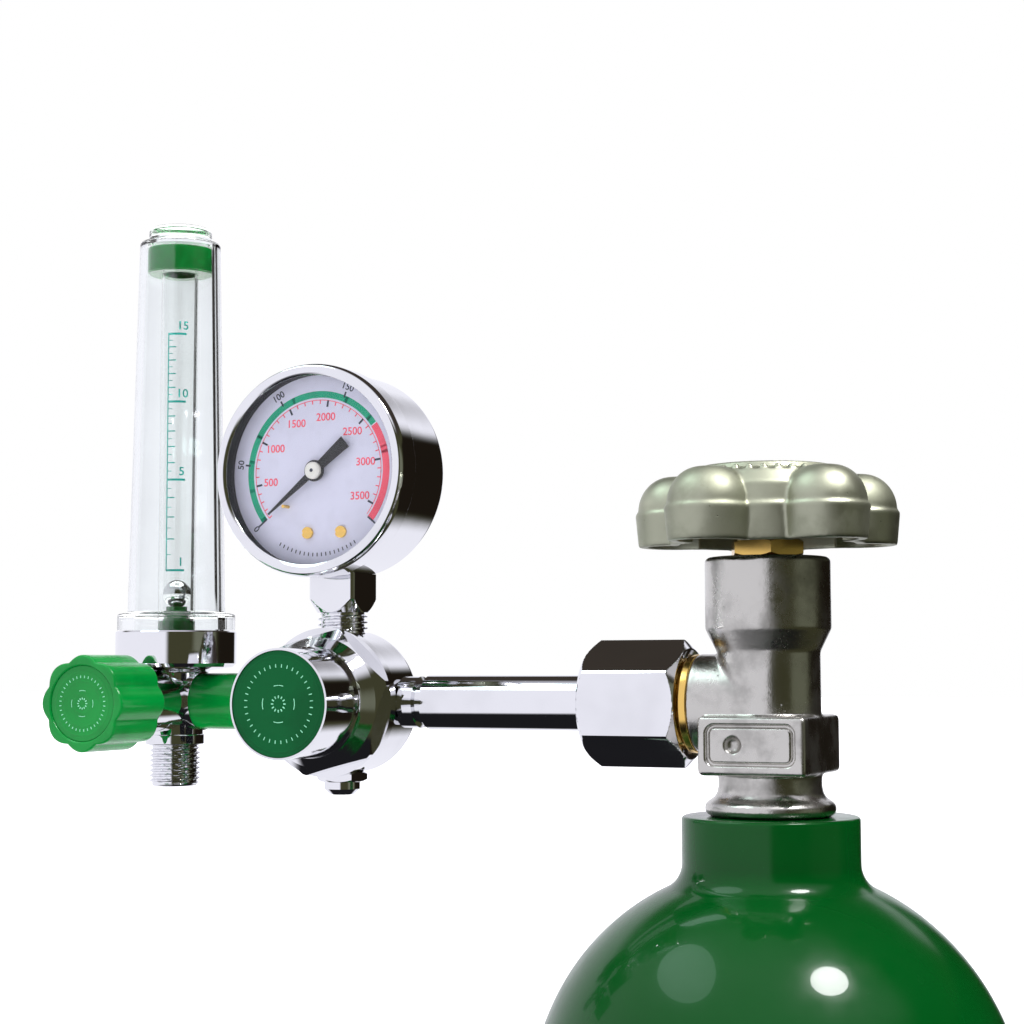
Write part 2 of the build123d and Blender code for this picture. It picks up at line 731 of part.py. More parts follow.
def pointer_hub():
    """The cap that presses the pointer on its shaft."""
    cap = turned([(0, 16.1), (2.3, 16.1), (2.3, 17.0), (1.8, 17.5), (0, 17.5)])
    return AT_GAUGE * (cap - rod(0.75, 16, 16.8))


def pinion_shaft():
    """The pointer's shaft with its pinion."""
    shaft = rod(0.75, 4.5, 16.8)
    teeth, root_r = gear(PINION_TEETH, GEAR_MODULE, 7.0, 8.6)
    pinion = rod(root_r, 7.0, 8.6)
    for tooth in teeth:
        pinion = pinion + tooth
    return AT_GAUGE * (shaft + Rot(0, 0, 180 / PINION_TEETH) * pinion)


def sector_gear():
    """The toothed sector that the Bourdon tube swings."""
    keep = 6
    teeth, root_r = gear(SECTOR_TEETH, GEAR_MODULE, 7.2, 8.4, keep)
    half = math.radians(360 / SECTOR_TEETH * (keep + 0.5))
    corner = (root_r * math.cos(half), root_r * math.sin(half))
    mirror_corner = (corner[0], -corner[1])
    rim = ThreePointArc(mirror_corner, (root_r, 0), corner)
    web = extrude(make_face([rim, Line(corner, (0, 0)), Line((0, 0), mirror_corner)]), 1.2)
    sector = Pos(0, 0, 7.2) * web
    for tooth in teeth:
        sector = sector + tooth
    boss = rod(1.8, 6.4, 9.2)
    pivot = rod(0.7, 4.5, 10.6)
    sector = sector + boss + pivot
    return AT_GAUGE * Pos(0, -SECTOR_DISTANCE, 0) * Rot(0, 0, 90 - SECTOR_REST) * sector


def movement_frame():
    """Two brass plates on pillars that carry the shafts."""
    foot = SOCKET_HEAD + STEM_Z - GAUGE_Z
    head = 2.8
    plates = block(11.0, head - foot, 4.8, 5.6) + block(11.0, head - foot, 9.6, 10.4)
    plates = Pos(0, (head + foot) / 2, 0) * plates
    pillar = rod(1.0, 5.0, 10.0)
    plates = plates + Pos(4.2, 1.8, 0) * pillar + Pos(-4.2, 1.8, 0) * pillar
    shaft_hole = rod(0.75 + FIT, 4, 12)
    pivot_hole = Pos(0, -SECTOR_DISTANCE, 0) * rod(0.7 + FIT, 4, 12)
    return AT_GAUGE * (plates - shaft_hole - pivot_hole)


def bourdon_tube():
    """The bent tube that straightens under pressure."""
    return AT_GAUGE * bourdon_solid(2.2)


# ---------------------------------------------------------------- connector


def connector_sleeve():
    """The green sleeve between the regulator and the flowmeter."""
    return AT_OUTLET * ring(SLEEVE_R, 5.0, -REGULATOR_X + SLEEVE_CLEAR, -SLEEVE_START)


def connector_tube():
    """The threaded tube inside the sleeve."""
    collar = rod(6.6, -REGULATOR_X + 18.8, -REGULATOR_X + SLEEVE_CLEAR)
    tube = rod(5.0, -REGULATOR_X + 13.0, -SLEEVE_START + 3.0)
    return AT_OUTLET * (collar + tube - rod(2.5, -REGULATOR_X + 12.0, -SLEEVE_START + 4.0))


# ---------------------------------------------------------------- flowmeter


def flowmeter_body():
    """The body: cup for the cover above, side barrels, and the outlet barrel below."""
    cup = turned(
        [
            (0, 4.0),
            (8.6, 4.0),
            (9.4, 8.6),
            (METER_BASE_R - 1.0, METER_BASE_BOTTOM - 0.6),
            (METER_BASE_R, METER_BASE_BOTTOM + 0.4),
            (METER_BASE_R, METER_BASE_TOP - 0.4),
            (METER_BASE_R - 0.4, METER_BASE_TOP),
            (0, METER_BASE_TOP),
        ],
        {2: 1.0},
    )
    outlet_barrel = rod(8.0, OUTLET_COLLAR, 4.5)
    reach = METER_X - SLEEVE_START
    side = Rot(0, -90, 0) * rod(8.2, reach, -reach)
    side = fillet(side.edges().group_by(Axis.X)[0], 1.2)
    front = Rot(90, 0, 0) * rod(8.5, 0, 20.0)
    front = fillet(front.edges().group_by(Axis.Y)[0], 1.0)
    body = cup + outlet_barrel + side + front + Sphere(9.0)
    well = rod(15.9, 14.0, METER_BASE_TOP + 1)
    tube_socket = rod(TUBE_R + 0.03, TUBE_FOOT - 4, 15)
    gas_up = rod(1.5, -1, 13)
    needle_bore = Rot(90, 0, 0) * rod(4.95, 5.5, 15.8)
    gland_bore = Rot(90, 0, 0) * rod(6.2, 15.7, 21)
    needle_seat = Rot(90, 0, 0) * rod(1.0, 0, 6)
    inlet = Rot(0, 90, 0) * rod(2.5, 0, reach * -1 - 2.9)
    tube_bore = Rot(0, 90, 0) * rod(5.0, -reach - 3.0, -reach + 1)
    outlet_thread = rod(5.0, OUTLET_COLLAR - 1, -4.0)
    outlet_bore = rod(2.0, -5, 0)
    body = body - well - tube_socket - gas_up - needle_bore - gland_bore - needle_seat
    return AT_METER * (body - inlet - tube_bore - outlet_thread - outlet_bore)


def flowmeter_cover():
    """The clear cover: spigot, flange, long taper and round cap."""
    outer = turned(
        [
            (0, 14.2),
            (COVER_SPIGOT_R, 14.2),
            (COVER_SPIGOT_R, METER_BASE_TOP + 0.3),
            (COVER_FLANGE_R, METER_BASE_TOP + 0.3),
            (COVER_FLANGE_R, COVER_FLANGE_TOP),
            (COVER_FOOT_R, COVER_FLANGE_TOP),
            (COVER_SHOULDER_R, COVER_SHOULDER - 1),
            (COVER_SHOULDER_R, COVER_SHOULDER),
            (COVER_CAP_R, COVER_SHOULDER + 0.9),
            (COVER_CAP_R, COVER_TOP),
            (0, COVER_TOP),
        ],
        {4: 0.8, 5: 0.6, 7: 0.8, 9: 1.4},
    )
    inner = turned(
        [
            (0, 14.0),
            (COVER_SPIGOT_R - COVER_WALL, 14.0),
            (COVER_FOOT_R - COVER_WALL, COVER_FLANGE_TOP),
            (COVER_SHOULDER_R - COVER_WALL, COVER_SHOULDER - 1),
            (0, COVER_SHOULDER - 1),
        ]
    )
    return AT_METER * (outer - inner)


def cover_seal():
    """The O-ring between the cover's spigot and the body."""
    section_r = (15.9 - COVER_SPIGOT_R) / 2
    return AT_METER * Pos(0, 0, 17.0) * Torus((15.9 + COVER_SPIGOT_R) / 2, section_r)


def metering_tube():
    """The clear tube, whose bore widens upwards."""
    bore = turned(
        [
            (0, TUBE_FOOT - 5),
            (BALL_R + 0.15, TUBE_FOOT - 5),
            (BALL_R + 0.15, BALL_REST),
            (BALL_R + 0.7, TUBE_HEAD + 1),
            (0, TUBE_HEAD + 1),
        ]
    )
    return AT_METER * (rod(TUBE_R, TUBE_FOOT - 4, TUBE_HEAD) - bore)


def float_ball():
    """The steel ball, resting on its seat."""
    return AT_METER * Pos(0, 0, BALL_REST) * Sphere(BALL_R)


def ball_seat():
    """The green plug under the ball."""
    hole_r = 1.5
    contact = BALL_REST - math.sqrt(BALL_R**2 - hole_r**2)
    outer = turned(
        [
            (0, TUBE_FOOT - 4),
            (BALL_R + 0.15, TUBE_FOOT - 4),
            (BALL_R + 0.15, contact - 4.0),
            (3.0, contact - 2.0),
            (3.0, contact - 0.05),
            (0, contact - 0.05),
        ]
    )
    return AT_METER * (outer - rod(hole_r, 0, 40))


def top_ring():
    """The green ring that centres the tube in the cover."""
    outer = turned(
        [(0, 122.9), (9.3, 122.9), (9.3, 130.3), (0, 130.3)],
        {1: 0.6, 2: 0.6},
    )
    return AT_METER * (outer - rod(TUBE_R, 122, TUBE_HEAD) - rod(3.0, 125, 131))


def outlet_nipple():
    """The threaded outlet: shank, collar and male thread pointing down."""
    nipple = turned(
        [
            (0, OUTLET_BOTTOM),
            (OUTLET_R - 1.2, OUTLET_BOTTOM),
            (OUTLET_R, OUTLET_BOTTOM + 1.2),
            (OUTLET_R, -12.6),
            (8.3, -12.2),
            (8.3, OUTLET_COLLAR),
            (5.0, OUTLET_COLLAR),
            (5.0, -4.0),
            (0, -4.0),
        ]
    )
    return AT_METER * (nipple - rod(3.4, -25, -8) - rod(2.0, -9, -3))


# ---------------------------------------------------------------- flow knob


def knob_outline(outer_r):
    """A smooth wavy outline with the knob's lobes."""
    points = []
    for number in range(2 * KNOB_LOBES):
        radius = outer_r if number % 2 == 0 else outer_r - KNOB_LOBE_DEPTH
        turn = math.pi * number / KNOB_LOBES
        points.append((radius * math.cos(turn), radius * math.sin(turn)))
    return make_face(Spline(*points, periodic=True))


def flow_knob():
    """The green lobed knob, open at the back, with a recess for its disc."""
    knob = Pos(0, 0, KNOB_BACK) * extrude(knob_outline(KNOB_R), KNOB_FRONT - KNOB_BACK)
    knob = knob - rod(KNOB_INSERT_R, KNOB_FRONT - 1.6, KNOB_FRONT + 1)
    knob = knob - ring(10.0, 4.6, KNOB_BACK - 1, KNOB_FRONT - 4)
    return AT_KNOB * (knob - rod(3.0, KNOB_BACK - 1, 38.0))


def knob_insert():
    """The round disc in the knob's face."""
    disc = rod(KNOB_INSERT_R, KNOB_FRONT - 1.6, KNOB_FRONT - 0.5)
    return AT_KNOB * disc


def knob_spindle():
    """The spindle that the knob turns, with the tang that turns the needle."""
    collar = rod(4.6, 16.4, 18.0)
    shaft = rod(3.0, 18.0, 38.0)
    tang = block(6.0, 1.6, 11.9, 16.4)
    return AT_KNOB * (collar + shaft + tang)


def knob_gland():
    """The gland that keeps the spindle in the body."""
    gland = ring(6.2, 3.0 + FIT, 18.3, 20.0)
    head = hexagon(13.0, 20.0, 23.4, turn=10) - rod(3.0 + FIT, 19, 24)
    return AT_KNOB * (gland + head)


def needle():
    """The needle: threaded barrel, cone tip and the slot for the spindle's tang."""
    barrel = rod(4.9, 8.0, 13.0)
    tip = turned([(0, 2.0), (0.3, 2.0), (0.9, 5.6), (1.6, 5.9), (1.6, 8.0), (0, 8.0)])
    slot = block(6.4, 2.0, 8.8, 13.1)
    return AT_KNOB * (barrel + tip - slot)


# ---------------------------------------------------------------- write the parts

for maker in [
    cylinder_shell,
    valve_body,
    valve_outlet,
    gland_nut,
    packing,
    valve_spindle,
    lower_plug,
    plug_seat,
    handwheel,
    handwheel_nut,
    union_nut,
    thrust_washer,
    inlet_nipple,
    inlet_filter,
    regulator_body,
    bonnet,
    label_cap,
    adjusting_screw,
    spring_button,
    main_spring,
    diaphragm,
    diaphragm_plate,
    nozzle,
    poppet,
    poppet_spring,
    relief_valve_body,
    relief_plunger,
    relief_spring,
    gauge_socket,
    gauge_case,
    gauge_bezel,
    gauge_lens,
    gauge_dial,
    dial_screws,
    stop_pin,
    gauge_pointer,
    pointer_hub,
    pinion_shaft,
    sector_gear,
    movement_frame,
    bourdon_tube,
    connector_sleeve,
    connector_tube,
    flowmeter_body,
    flowmeter_cover,
    cover_seal,
    metering_tube,
    float_ball,
    ball_seat,
    top_ring,
    outlet_nipple,
    flow_knob,
    knob_insert,
    knob_spindle,
    knob_gland,
    needle,
]:
    export_step(maker(), f"parts/{maker.__name__}.step")
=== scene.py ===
import math
import bpy
import bmesh
import numpy as np
from mathutils import Matrix, Vector


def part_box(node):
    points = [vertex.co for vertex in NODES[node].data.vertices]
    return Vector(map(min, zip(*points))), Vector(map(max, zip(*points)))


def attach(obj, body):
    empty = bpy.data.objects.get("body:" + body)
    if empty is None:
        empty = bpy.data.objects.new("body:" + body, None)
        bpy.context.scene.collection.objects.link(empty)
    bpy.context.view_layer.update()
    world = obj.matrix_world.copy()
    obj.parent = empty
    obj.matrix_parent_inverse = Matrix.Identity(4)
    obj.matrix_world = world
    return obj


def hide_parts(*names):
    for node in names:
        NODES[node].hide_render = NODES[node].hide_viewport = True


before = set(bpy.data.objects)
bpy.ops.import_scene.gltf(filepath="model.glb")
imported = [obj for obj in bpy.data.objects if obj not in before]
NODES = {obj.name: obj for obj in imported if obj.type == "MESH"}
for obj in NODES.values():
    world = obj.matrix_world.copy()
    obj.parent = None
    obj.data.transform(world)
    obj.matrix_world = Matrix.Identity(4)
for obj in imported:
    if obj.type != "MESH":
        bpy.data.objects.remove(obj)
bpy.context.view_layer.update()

# A medical oxygen cylinder with its regulator, gauge and flowmeter. Metres, +Z up.

MM = 0.001


def middle(node):
    """The centre of a CAD node's box."""
    low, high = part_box(node)
    return (low + high) / 2


# ---------------------------------------------------------------- places taken from the CAD

STEM = middle("inlet_nipple").z  # height of the outlet's axis
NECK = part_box("cylinder_shell")[1].z
REGULATOR_X = middle("gauge_bezel").x
GAUGE_Z = middle("gauge_bezel").z
METER_X = middle("float_ball").x

AT_VALVE = Matrix.Translation((0, 0, STEM))
AT_OUTLET = AT_VALVE @ Matrix.Rotation(math.radians(-90), 4, "Y")  # own +Z points to -X
FACING = Matrix.Rotation(math.radians(90), 4, "X")  # own +Z points to -Y, own +Y up
AT_REGULATOR = Matrix.Translation((REGULATOR_X, 0, STEM)) @ FACING
AT_REGULATOR_UPRIGHT = Matrix.Translation((REGULATOR_X, 0, STEM))
AT_GAUGE = Matrix.Translation((REGULATOR_X, 0, GAUGE_Z)) @ FACING
AT_METER = Matrix.Translation((METER_X, 0, STEM))
AT_KNOB = AT_METER @ FACING


# ---------------------------------------------------------------- materials


class Look:
    """A Principled material whose colour, roughness and relief come from procedural nodes."""

    def __init__(self, name, colour, rough, **sockets):
        self.material = bpy.data.materials.new(name)
        self.material.use_nodes = True
        self.nodes = self.material.node_tree.nodes
        self.links = self.material.node_tree.links
        self.shader = self.nodes["Principled BSDF"]
        self.colour = (*colour, 1.0)
        self.shader.inputs["Base Color"].default_value = self.colour
        self.shader.inputs["Roughness"].default_value = rough
        for key, value in sockets.items():
            self.shader.inputs[key.replace("_", " ")].default_value = value
        self.place = self.nodes.new("ShaderNodeTexCoord").outputs["Object"]
        self.relief = None

    def join(self, start, end):
        self.links.new(start, end)

    def stretched(self, scale, turn=(0, 0, 0)):
        """Object coordinates scaled by a different amount along each axis."""
        mapping = self.nodes.new("ShaderNodeMapping")
        mapping.inputs["Scale"].default_value = scale
        mapping.inputs["Rotation"].default_value = turn
        self.join(self.place, mapping.inputs["Vector"])
        return mapping.outputs["Vector"]

    def noise(self, scale, detail=3.0, rough=0.5, place=None):
        node = self.nodes.new("ShaderNodeTexNoise")
        node.inputs["Scale"].default_value = scale
        node.inputs["Detail"].default_value = detail
        node.inputs["Roughness"].default_value = rough
        self.join(place or self.place, node.inputs["Vector"])
        return node.outputs["Fac"]

    def cells(self, scale, feature="F1", place=None):
        node = self.nodes.new("ShaderNodeTexVoronoi")
        node.feature = feature
        node.inputs["Scale"].default_value = scale
        self.join(place or self.place, node.inputs["Vector"])
        return node.outputs["Distance"]

    def ranged(self, value, low, high, to_low=0.0, to_high=1.0):
        """A value's range mapped to another range, smoothly."""
        node = self.nodes.new("ShaderNodeMapRange")
        node.interpolation_type = "SMOOTHSTEP"
        for key, number in zip(("From Min", "From Max", "To Min", "To Max"), (low, high, to_low, to_high)):
            node.inputs[key].default_value = number
        self.join(value, node.inputs["Value"])
        return node.outputs["Result"]

    def tint(self, value, colour, amount=1.0):
        """Mixes a second colour in where value is 1."""
        node = self.nodes.new("ShaderNodeMix")
        node.data_type = "RGBA"
        base = self.shader.inputs["Base Color"]
        if base.is_linked:
            self.join(base.links[0].from_socket, node.inputs["A"])
        else:
            node.inputs["A"].default_value = self.colour
        node.inputs["B"].default_value = (*colour, 1.0)
        self.join(self.ranged(value, 0.0, 1.0, 0.0, amount), node.inputs["Factor"])
        self.join(node.outputs["Result"], base)
        return self

    def rougher(self, value, low, high):
        """Roughness between two numbers as value goes from 0 to 1."""
        self.join(self.ranged(value, 0.0, 1.0, low, high), self.shader.inputs["Roughness"])
        return self

    def bump(self, value, height, strength=1.0):
        """Relief of that many metres, added to the relief already there."""
        node = self.nodes.new("ShaderNodeBump")
        node.inputs["Distance"].default_value = height
        node.inputs["Strength"].default_value = strength
        self.join(value, node.inputs["Height"])
        if self.relief:
            self.join(self.relief, node.inputs["Normal"])
        self.relief = node.outputs["Normal"]
        self.join(self.relief, self.shader.inputs["Normal"])
        return self


def green_paint():
    """Glossy enamel: slight shade changes, orange peel, brush-fine scratches and dust."""
    gloss = {"Coat_Weight": 0.28, "Coat_Roughness": 0.03, "Specular_IOR_Level": 0.1}
    look = Look("green_paint", (0.0, 0.052, 0.006), 0.2, **gloss)
    look.tint(look.ranged(look.noise(9.0, 2.0), 0.35, 0.7), (0.0, 0.038, 0.004), 0.8)
    look.tint(look.ranged(look.cells(300.0), 0.0, 0.05, 1.0, 0.0), (0.02, 0.20, 0.08), 0.3)
    look.rougher(look.noise(160.0, 4.0), 0.14, 0.3)
    look.bump(look.noise(38.0, 2.0), 0.00035, 0.35)
    return look.bump(look.noise(620.0, 2.0), 0.00002, 0.5)


def polished(name, colour, rough, spread=0.06, wave=0.00004):
    """Plated metal: near-mirror, with faint scratches, a little waviness and dull specks."""
    look = Look(name, colour, rough, Metallic=1.0)
    smear = look.noise(70.0, 5.0, 0.65)
    look.rougher(look.ranged(smear, 0.35, 0.75), rough, rough + spread)
    look.tint(look.ranged(look.noise(35.0, 3.0), 0.4, 0.75), tuple(c * 0.86 for c in colour), 0.7)
    look.bump(look.noise(95.0, 1.0), wave, 0.6)
    along = look.stretched((1.0, 9.0, 1.0), (0.4, 0.2, 0.7))
    return look.bump(look.noise(900.0, 4.0, 0.7, along), 0.000004, 0.5)


def cast_metal(name, colour, rough, grain=0.00006, dark=0.6):
    """Satin metal: a fine blasted grain, scattered pits, stains and rubbed patches."""
    look = Look(name, colour, rough, Metallic=1.0)
    patches = look.noise(85.0, 5.0, 0.6)
    look.tint(look.ranged(patches, 0.42, 0.72), tuple(c * dark for c in colour), 0.7)
    pits = look.ranged(look.cells(430.0), 0.0, 0.14, 1.0, 0.0)
    some = look.ranged(look.noise(120.0, 2.0), 0.5, 0.62)
    sparse = look.nodes.new("ShaderNodeMath")
    sparse.operation = "MULTIPLY"
    look.join(pits, sparse.inputs[0])
    look.join(some, sparse.inputs[1])
    look.tint(sparse.outputs[0], tuple(c * 0.35 for c in colour), 0.75)
    look.rougher(look.ranged(patches, 0.3, 0.75), rough - 0.07, rough + 0.12)
    sunk = look.ranged(sparse.outputs[0], 0.0, 1.0, 1.0, 0.0)
    look.bump(sunk, grain * 2.5, 0.8)
    look.bump(look.noise(340.0, 4.0, 0.65), grain * 1.6, 0.7)
    return look.bump(look.noise(2400.0, 3.0), grain * 0.3, 0.6)


def moulded(name, colour, rough, **sockets):
    """Moulded plastic: slight shade changes, soft flow waves and a fine skin."""
    look = Look(name, colour, rough, **sockets)
    look.tint(look.ranged(look.noise(60.0, 3.0), 0.35, 0.7), tuple(c * 0.72 for c in colour), 0.7)
    look.rougher(look.noise(220.0, 4.0), rough, rough + 0.14)
    look.bump(look.noise(130.0, 2.0), 0.00008, 0.4)
    return look.bump(look.noise(1500.0, 3.0), 0.000008, 0.5)


def clear(name, colour, rough, ior, roughest):
    """Clear plastic or glass, with faint moulding ripples and handling haze."""
    look = Look(name, colour, rough, Transmission_Weight=1.0, IOR=ior)
    look.rougher(look.ranged(look.noise(140.0, 4.0), 0.5, 0.8), rough, roughest)
    look.tint(look.ranged(look.noise(50.0), 0.4, 0.7), tuple(c * 0.97 for c in colour), 0.8)
    return look.bump(look.noise(110.0, 1.0), 0.00003, 0.4)


def printed(name, colour, rough=0.45, fade=0.8):
    """Ink or enamel, a little uneven in density."""
    look = Look(name, colour, rough)
    look.tint(look.ranged(look.noise(260.0, 3.0), 0.4, 0.75), tuple(c * fade for c in colour), 0.6)
    return look.bump(look.noise(2500.0, 2.0), 0.000006, 0.5)


LOOKS = {
    "green_paint": green_paint(),
    "nickel": cast_metal("nickel", (0.60, 0.585, 0.555), 0.27),
    "bare_brass": polished("bare_brass", (0.86, 0.56, 0.16), 0.16, 0.12),
    "wheel_metal": cast_metal("wheel_metal", (0.42, 0.43, 0.33), 0.50, 0.00003, 0.85),
    "chrome": polished("chrome", (0.84, 0.84, 0.87), 0.035),
    "steel": polished("steel", (0.56, 0.56, 0.57), 0.22, 0.12),
    "spring_steel": polished("spring_steel", (0.45, 0.45, 0.47), 0.25, 0.1),
    "white_nylon": moulded("white_nylon", (0.80, 0.79, 0.74), 0.4),
    "black_rubber": moulded("black_rubber", (0.018, 0.018, 0.02), 0.55),
    "bronze_filter": cast_metal("bronze_filter", (0.50, 0.30, 0.16), 0.55, 0.0001),
    "green_label": moulded("green_label", (0.0, 0.078, 0.020), 0.42, Specular_IOR_Level=0.12),
    "green_plastic": moulded(
        "green_plastic", (0.0, 0.21, 0.030), 0.14, Specular_IOR_Level=0.3, Coat_Weight=0.15
    ),
    "clear_cover": clear("clear_cover", (0.98, 1.0, 0.99), 0.0, 1.49, 0.03),
    "clear_tube": clear("clear_tube", (0.985, 1.0, 0.99), 0.0, 1.49, 0.02),
    "window": clear("window", (0.99, 0.99, 1.0), 0.0, 1.2, 0.015),
    "dial_print": printed("dial_print", (0.66, 0.66, 0.80), 0.5, 0.93),
    "black_paint": printed("black_paint", (0.016, 0.016, 0.018), 0.3),
    "ball_steel": polished("ball_steel", (0.62, 0.62, 0.64), 0.06),
}


def dress():
    """Gives every CAD node that still shows the look of its record slot."""
    for node in NODES.values():
        for place in node.material_slots:
            slot = place.material.name.split(".")[0]
            place.material = LOOKS[slot].material


# ---------------------------------------------------------------- studio


def studio_world():
    """A soft studio painted on the sky: pale in front and at the left, dark at the right, behind
    the object and straight below. The eye itself sees plain white."""
    world = bpy.data.worlds.new("studio")
    bpy.context.scene.world = world
    world.use_nodes = True
    nodes, links = world.node_tree.nodes, world.node_tree.links
    direction = nodes.new("ShaderNodeTexCoord").outputs["Generated"]
    split = nodes.new("ShaderNodeSeparateXYZ")
    links.new(direction, split.inputs[0])
    x, y, z = split.outputs

    def step(value, start, full):
        """0 up to start and 1 past full, in either direction."""
        node = nodes.new("ShaderNodeMapRange")
        node.interpolation_type = "SMOOTHSTEP"
        rising = full > start
        node.inputs["From Min"].default_value = min(start, full)
        node.inputs["From Max"].default_value = max(start, full)
        node.inputs["To Min"].default_value = 0 if rising else 1
        node.inputs["To Max"].default_value = 1 if rising else 0
        links.new(value, node.inputs["Value"])
        return node.outputs["Result"]

    def both(a, b):
        node = nodes.new("ShaderNodeMath")
        node.operation = "MULTIPLY"
        links.new(a, node.inputs[0])
        links.new(b, node.inputs[1])
        return node.outputs[0]

    def over(under, colour, mask):
        node = nodes.new("ShaderNodeMix")
        node.data_type = "RGBA"
        links.new(mask, node.inputs["Factor"])
        if isinstance(under, tuple):
            node.inputs["A"].default_value = (*under, 1)
        else:
            links.new(under, node.inputs["A"])
        node.inputs["B"].default_value = (*colour, 1)
        return node.outputs["Result"]

    pale, grey = (0.95, 0.95, 1.02), (0.50, 0.50, 0.55)
    olive, dull_olive = (0.055, 0.055, 0.028), (0.16, 0.17, 0.12)
    brown, near_black, black = (0.045, 0.037, 0.03), (0.012, 0.009, 0.006), (0.012, 0.012, 0.014)
    overhead = both(step(z, 0.55, 0.9), step(y, -0.3, 0.2))
    right = both(step(x, 0.2, 0.36), step(z, 0.72, 0.5))
    level = both(step(z, 0.40, 0.32), step(z, -0.36, -0.28))
    behind = both(both(step(x, -0.1, 0.04), step(y, 0.3, 0.6)), level)
    far_right = both(both(step(x, 0.88, 0.96), step(z, 0.45, 0.3)), step(z, -0.3, -0.1))
    high_behind = both(step(y, 0.1, 0.35), step(z, 0.42, 0.55))
    below = step(z, -0.58, -0.7)
    sky = over(pale, grey, overhead)
    for colour, mask in (
        (olive, right), (near_black, behind), (dull_olive, far_right), (brown, high_behind), (black, below)
    ):
        sky = over(sky, colour, mask)
    path = nodes.new("ShaderNodeLightPath")
    sky = over(sky, (1.0, 1.0, 1.0), path.outputs["Is Camera Ray"])
    links.new(sky, nodes["Background"].inputs["Color"])
    nodes["Background"].inputs["Strength"].default_value = 1.0
    world.cycles.sampling_method = "MANUAL"
    world.cycles.sample_map_resolution = 512


def floor():
    """A plain pale floor under the object. Polished metal doesn't mirror it."""
    mesh = bpy.data.meshes.new("floor")
    half = 30.0
    corners = [(-half, -half, 0), (half, -half, 0), (half, half, 0), (-half, half, 0)]
    mesh.from_pydata(corners, [], [(0, 1, 2, 3)])
    ground = bpy.data.objects.new("floor", mesh)
    bpy.context.scene.collection.objects.link(ground)
    look = Look("floor", (0.95, 0.95, 0.95), 0.7, Emission_Color=(1, 1, 1, 1))
    look.tint(look.ranged(look.noise(0.6), 0.4, 0.7), (0.93, 0.93, 0.93), 0.6)
    away = look.nodes.new("ShaderNodeVectorMath")
    away.operation = "LENGTH"
    look.join(look.place, away.inputs[0])
    glow = look.ranged(away.outputs["Value"], 0.15, 1.3, 0.35, 1.0)
    look.join(glow, look.shader.inputs["Emission Strength"])
    mesh.materials.append(look.material)
    ground.visible_glossy = False


def studio_lamps():
    """A key lamp high at the right, a cool one high at the left, and light for the floor."""
    target = (0.0, 0.0, STEM - 0.06)
    key = Vector((0.43, -0.13, 0.89))
    softbox("key", Vector(target) + key * 1.1, target, (0.32, 0.26), 11.0)
    left = Vector((-0.5, -0.22, 0.84))
    softbox("left", Vector(target) + left * 1.3, target, (0.8, 0.5), 3.0, (0.75, 1.0, 0.95))
    softbox("ceiling", (-0.1, 0.2, 2.6), (-0.1, 0.0, 0.0), (3.0, 3.0), 60.0).visible_glossy = False


def softbox(name, place, target, size, power, colour=(1, 1, 1)):
    """An oval area light aimed at a point."""
    light = bpy.data.lights.new(name, "AREA")
    light.shape = "ELLIPSE"
    light.size, light.size_y = size
    light.energy = power
    light.color = colour
    lamp = bpy.data.objects.new(name, light)
    bpy.context.scene.collection.objects.link(lamp)
    lamp.location = place
    lamp.rotation_euler = (Vector(target) - Vector(place)).to_track_quat("-Z", "Y").to_euler()
    return lamp


EYE = (0.14016, -0.46773, 0.50698)
EYE_TURN, EYE_TILT, EYE_ROLL = 24.19, 94.56, -0.15  # degrees
LENS = 68.14


def camera():
    """The photograph's viewpoint: a little below the wheel, turned to the left."""
    data = bpy.data.cameras.new("camera")
    data.sensor_width = 36.0
    data.lens = LENS
    data.clip_start = 0.02
    eye = bpy.data.objects.new("camera", data)
    bpy.context.scene.collection.objects.link(eye)
    turn = Matrix.Rotation(math.radians(EYE_TURN), 4, "Z") @ Matrix.Rotation(math.radians(EYE_TILT), 4, "X")
    eye.matrix_world = Matrix.Translation(EYE) @ turn @ Matrix.Rotation(math.radians(EYE_ROLL), 4, "Z")
    bpy.context.scene.camera = eye


# ---------------------------------------------------------------- mesh tools, in millimetres


def finished(name, vertices, faces, place, body, slot, look=None, nodes=(), sharp=28.0, weighted=True):
    """Makes a smooth-shaded piece from a mesh in millimetres, riding on a CAD body."""
    mesh = bpy.data.meshes.new(name)
    mesh.from_pydata([tuple(v) for v in np.asarray(vertices, float) * MM], [], faces)
    mesh.transform(place)
    mesh.validate()
    shell = bmesh.new()
    shell.from_mesh(mesh)
    bmesh.ops.remove_doubles(shell, verts=shell.verts, dist=1e-7)
    bmesh.ops.dissolve_degenerate(shell, edges=shell.edges, dist=1e-8)
    bmesh.ops.recalc_face_normals(shell, faces=shell.faces)
    shell.to_mesh(mesh)
    shell.free()
    mesh.shade_smooth()
    if sharp:
        mesh.set_sharp_from_angle(angle=math.radians(sharp))
    piece = bpy.data.objects.new(name, mesh)
    bpy.context.scene.collection.objects.link(piece)
    mesh.materials.append((look or LOOKS[slot]).material)
    if weighted:
        modifier = piece.modifiers.new("normals", "WEIGHTED_NORMAL")
        modifier.keep_sharp = True
    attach(piece, body)
    if nodes:
        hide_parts(*nodes)
    return piece


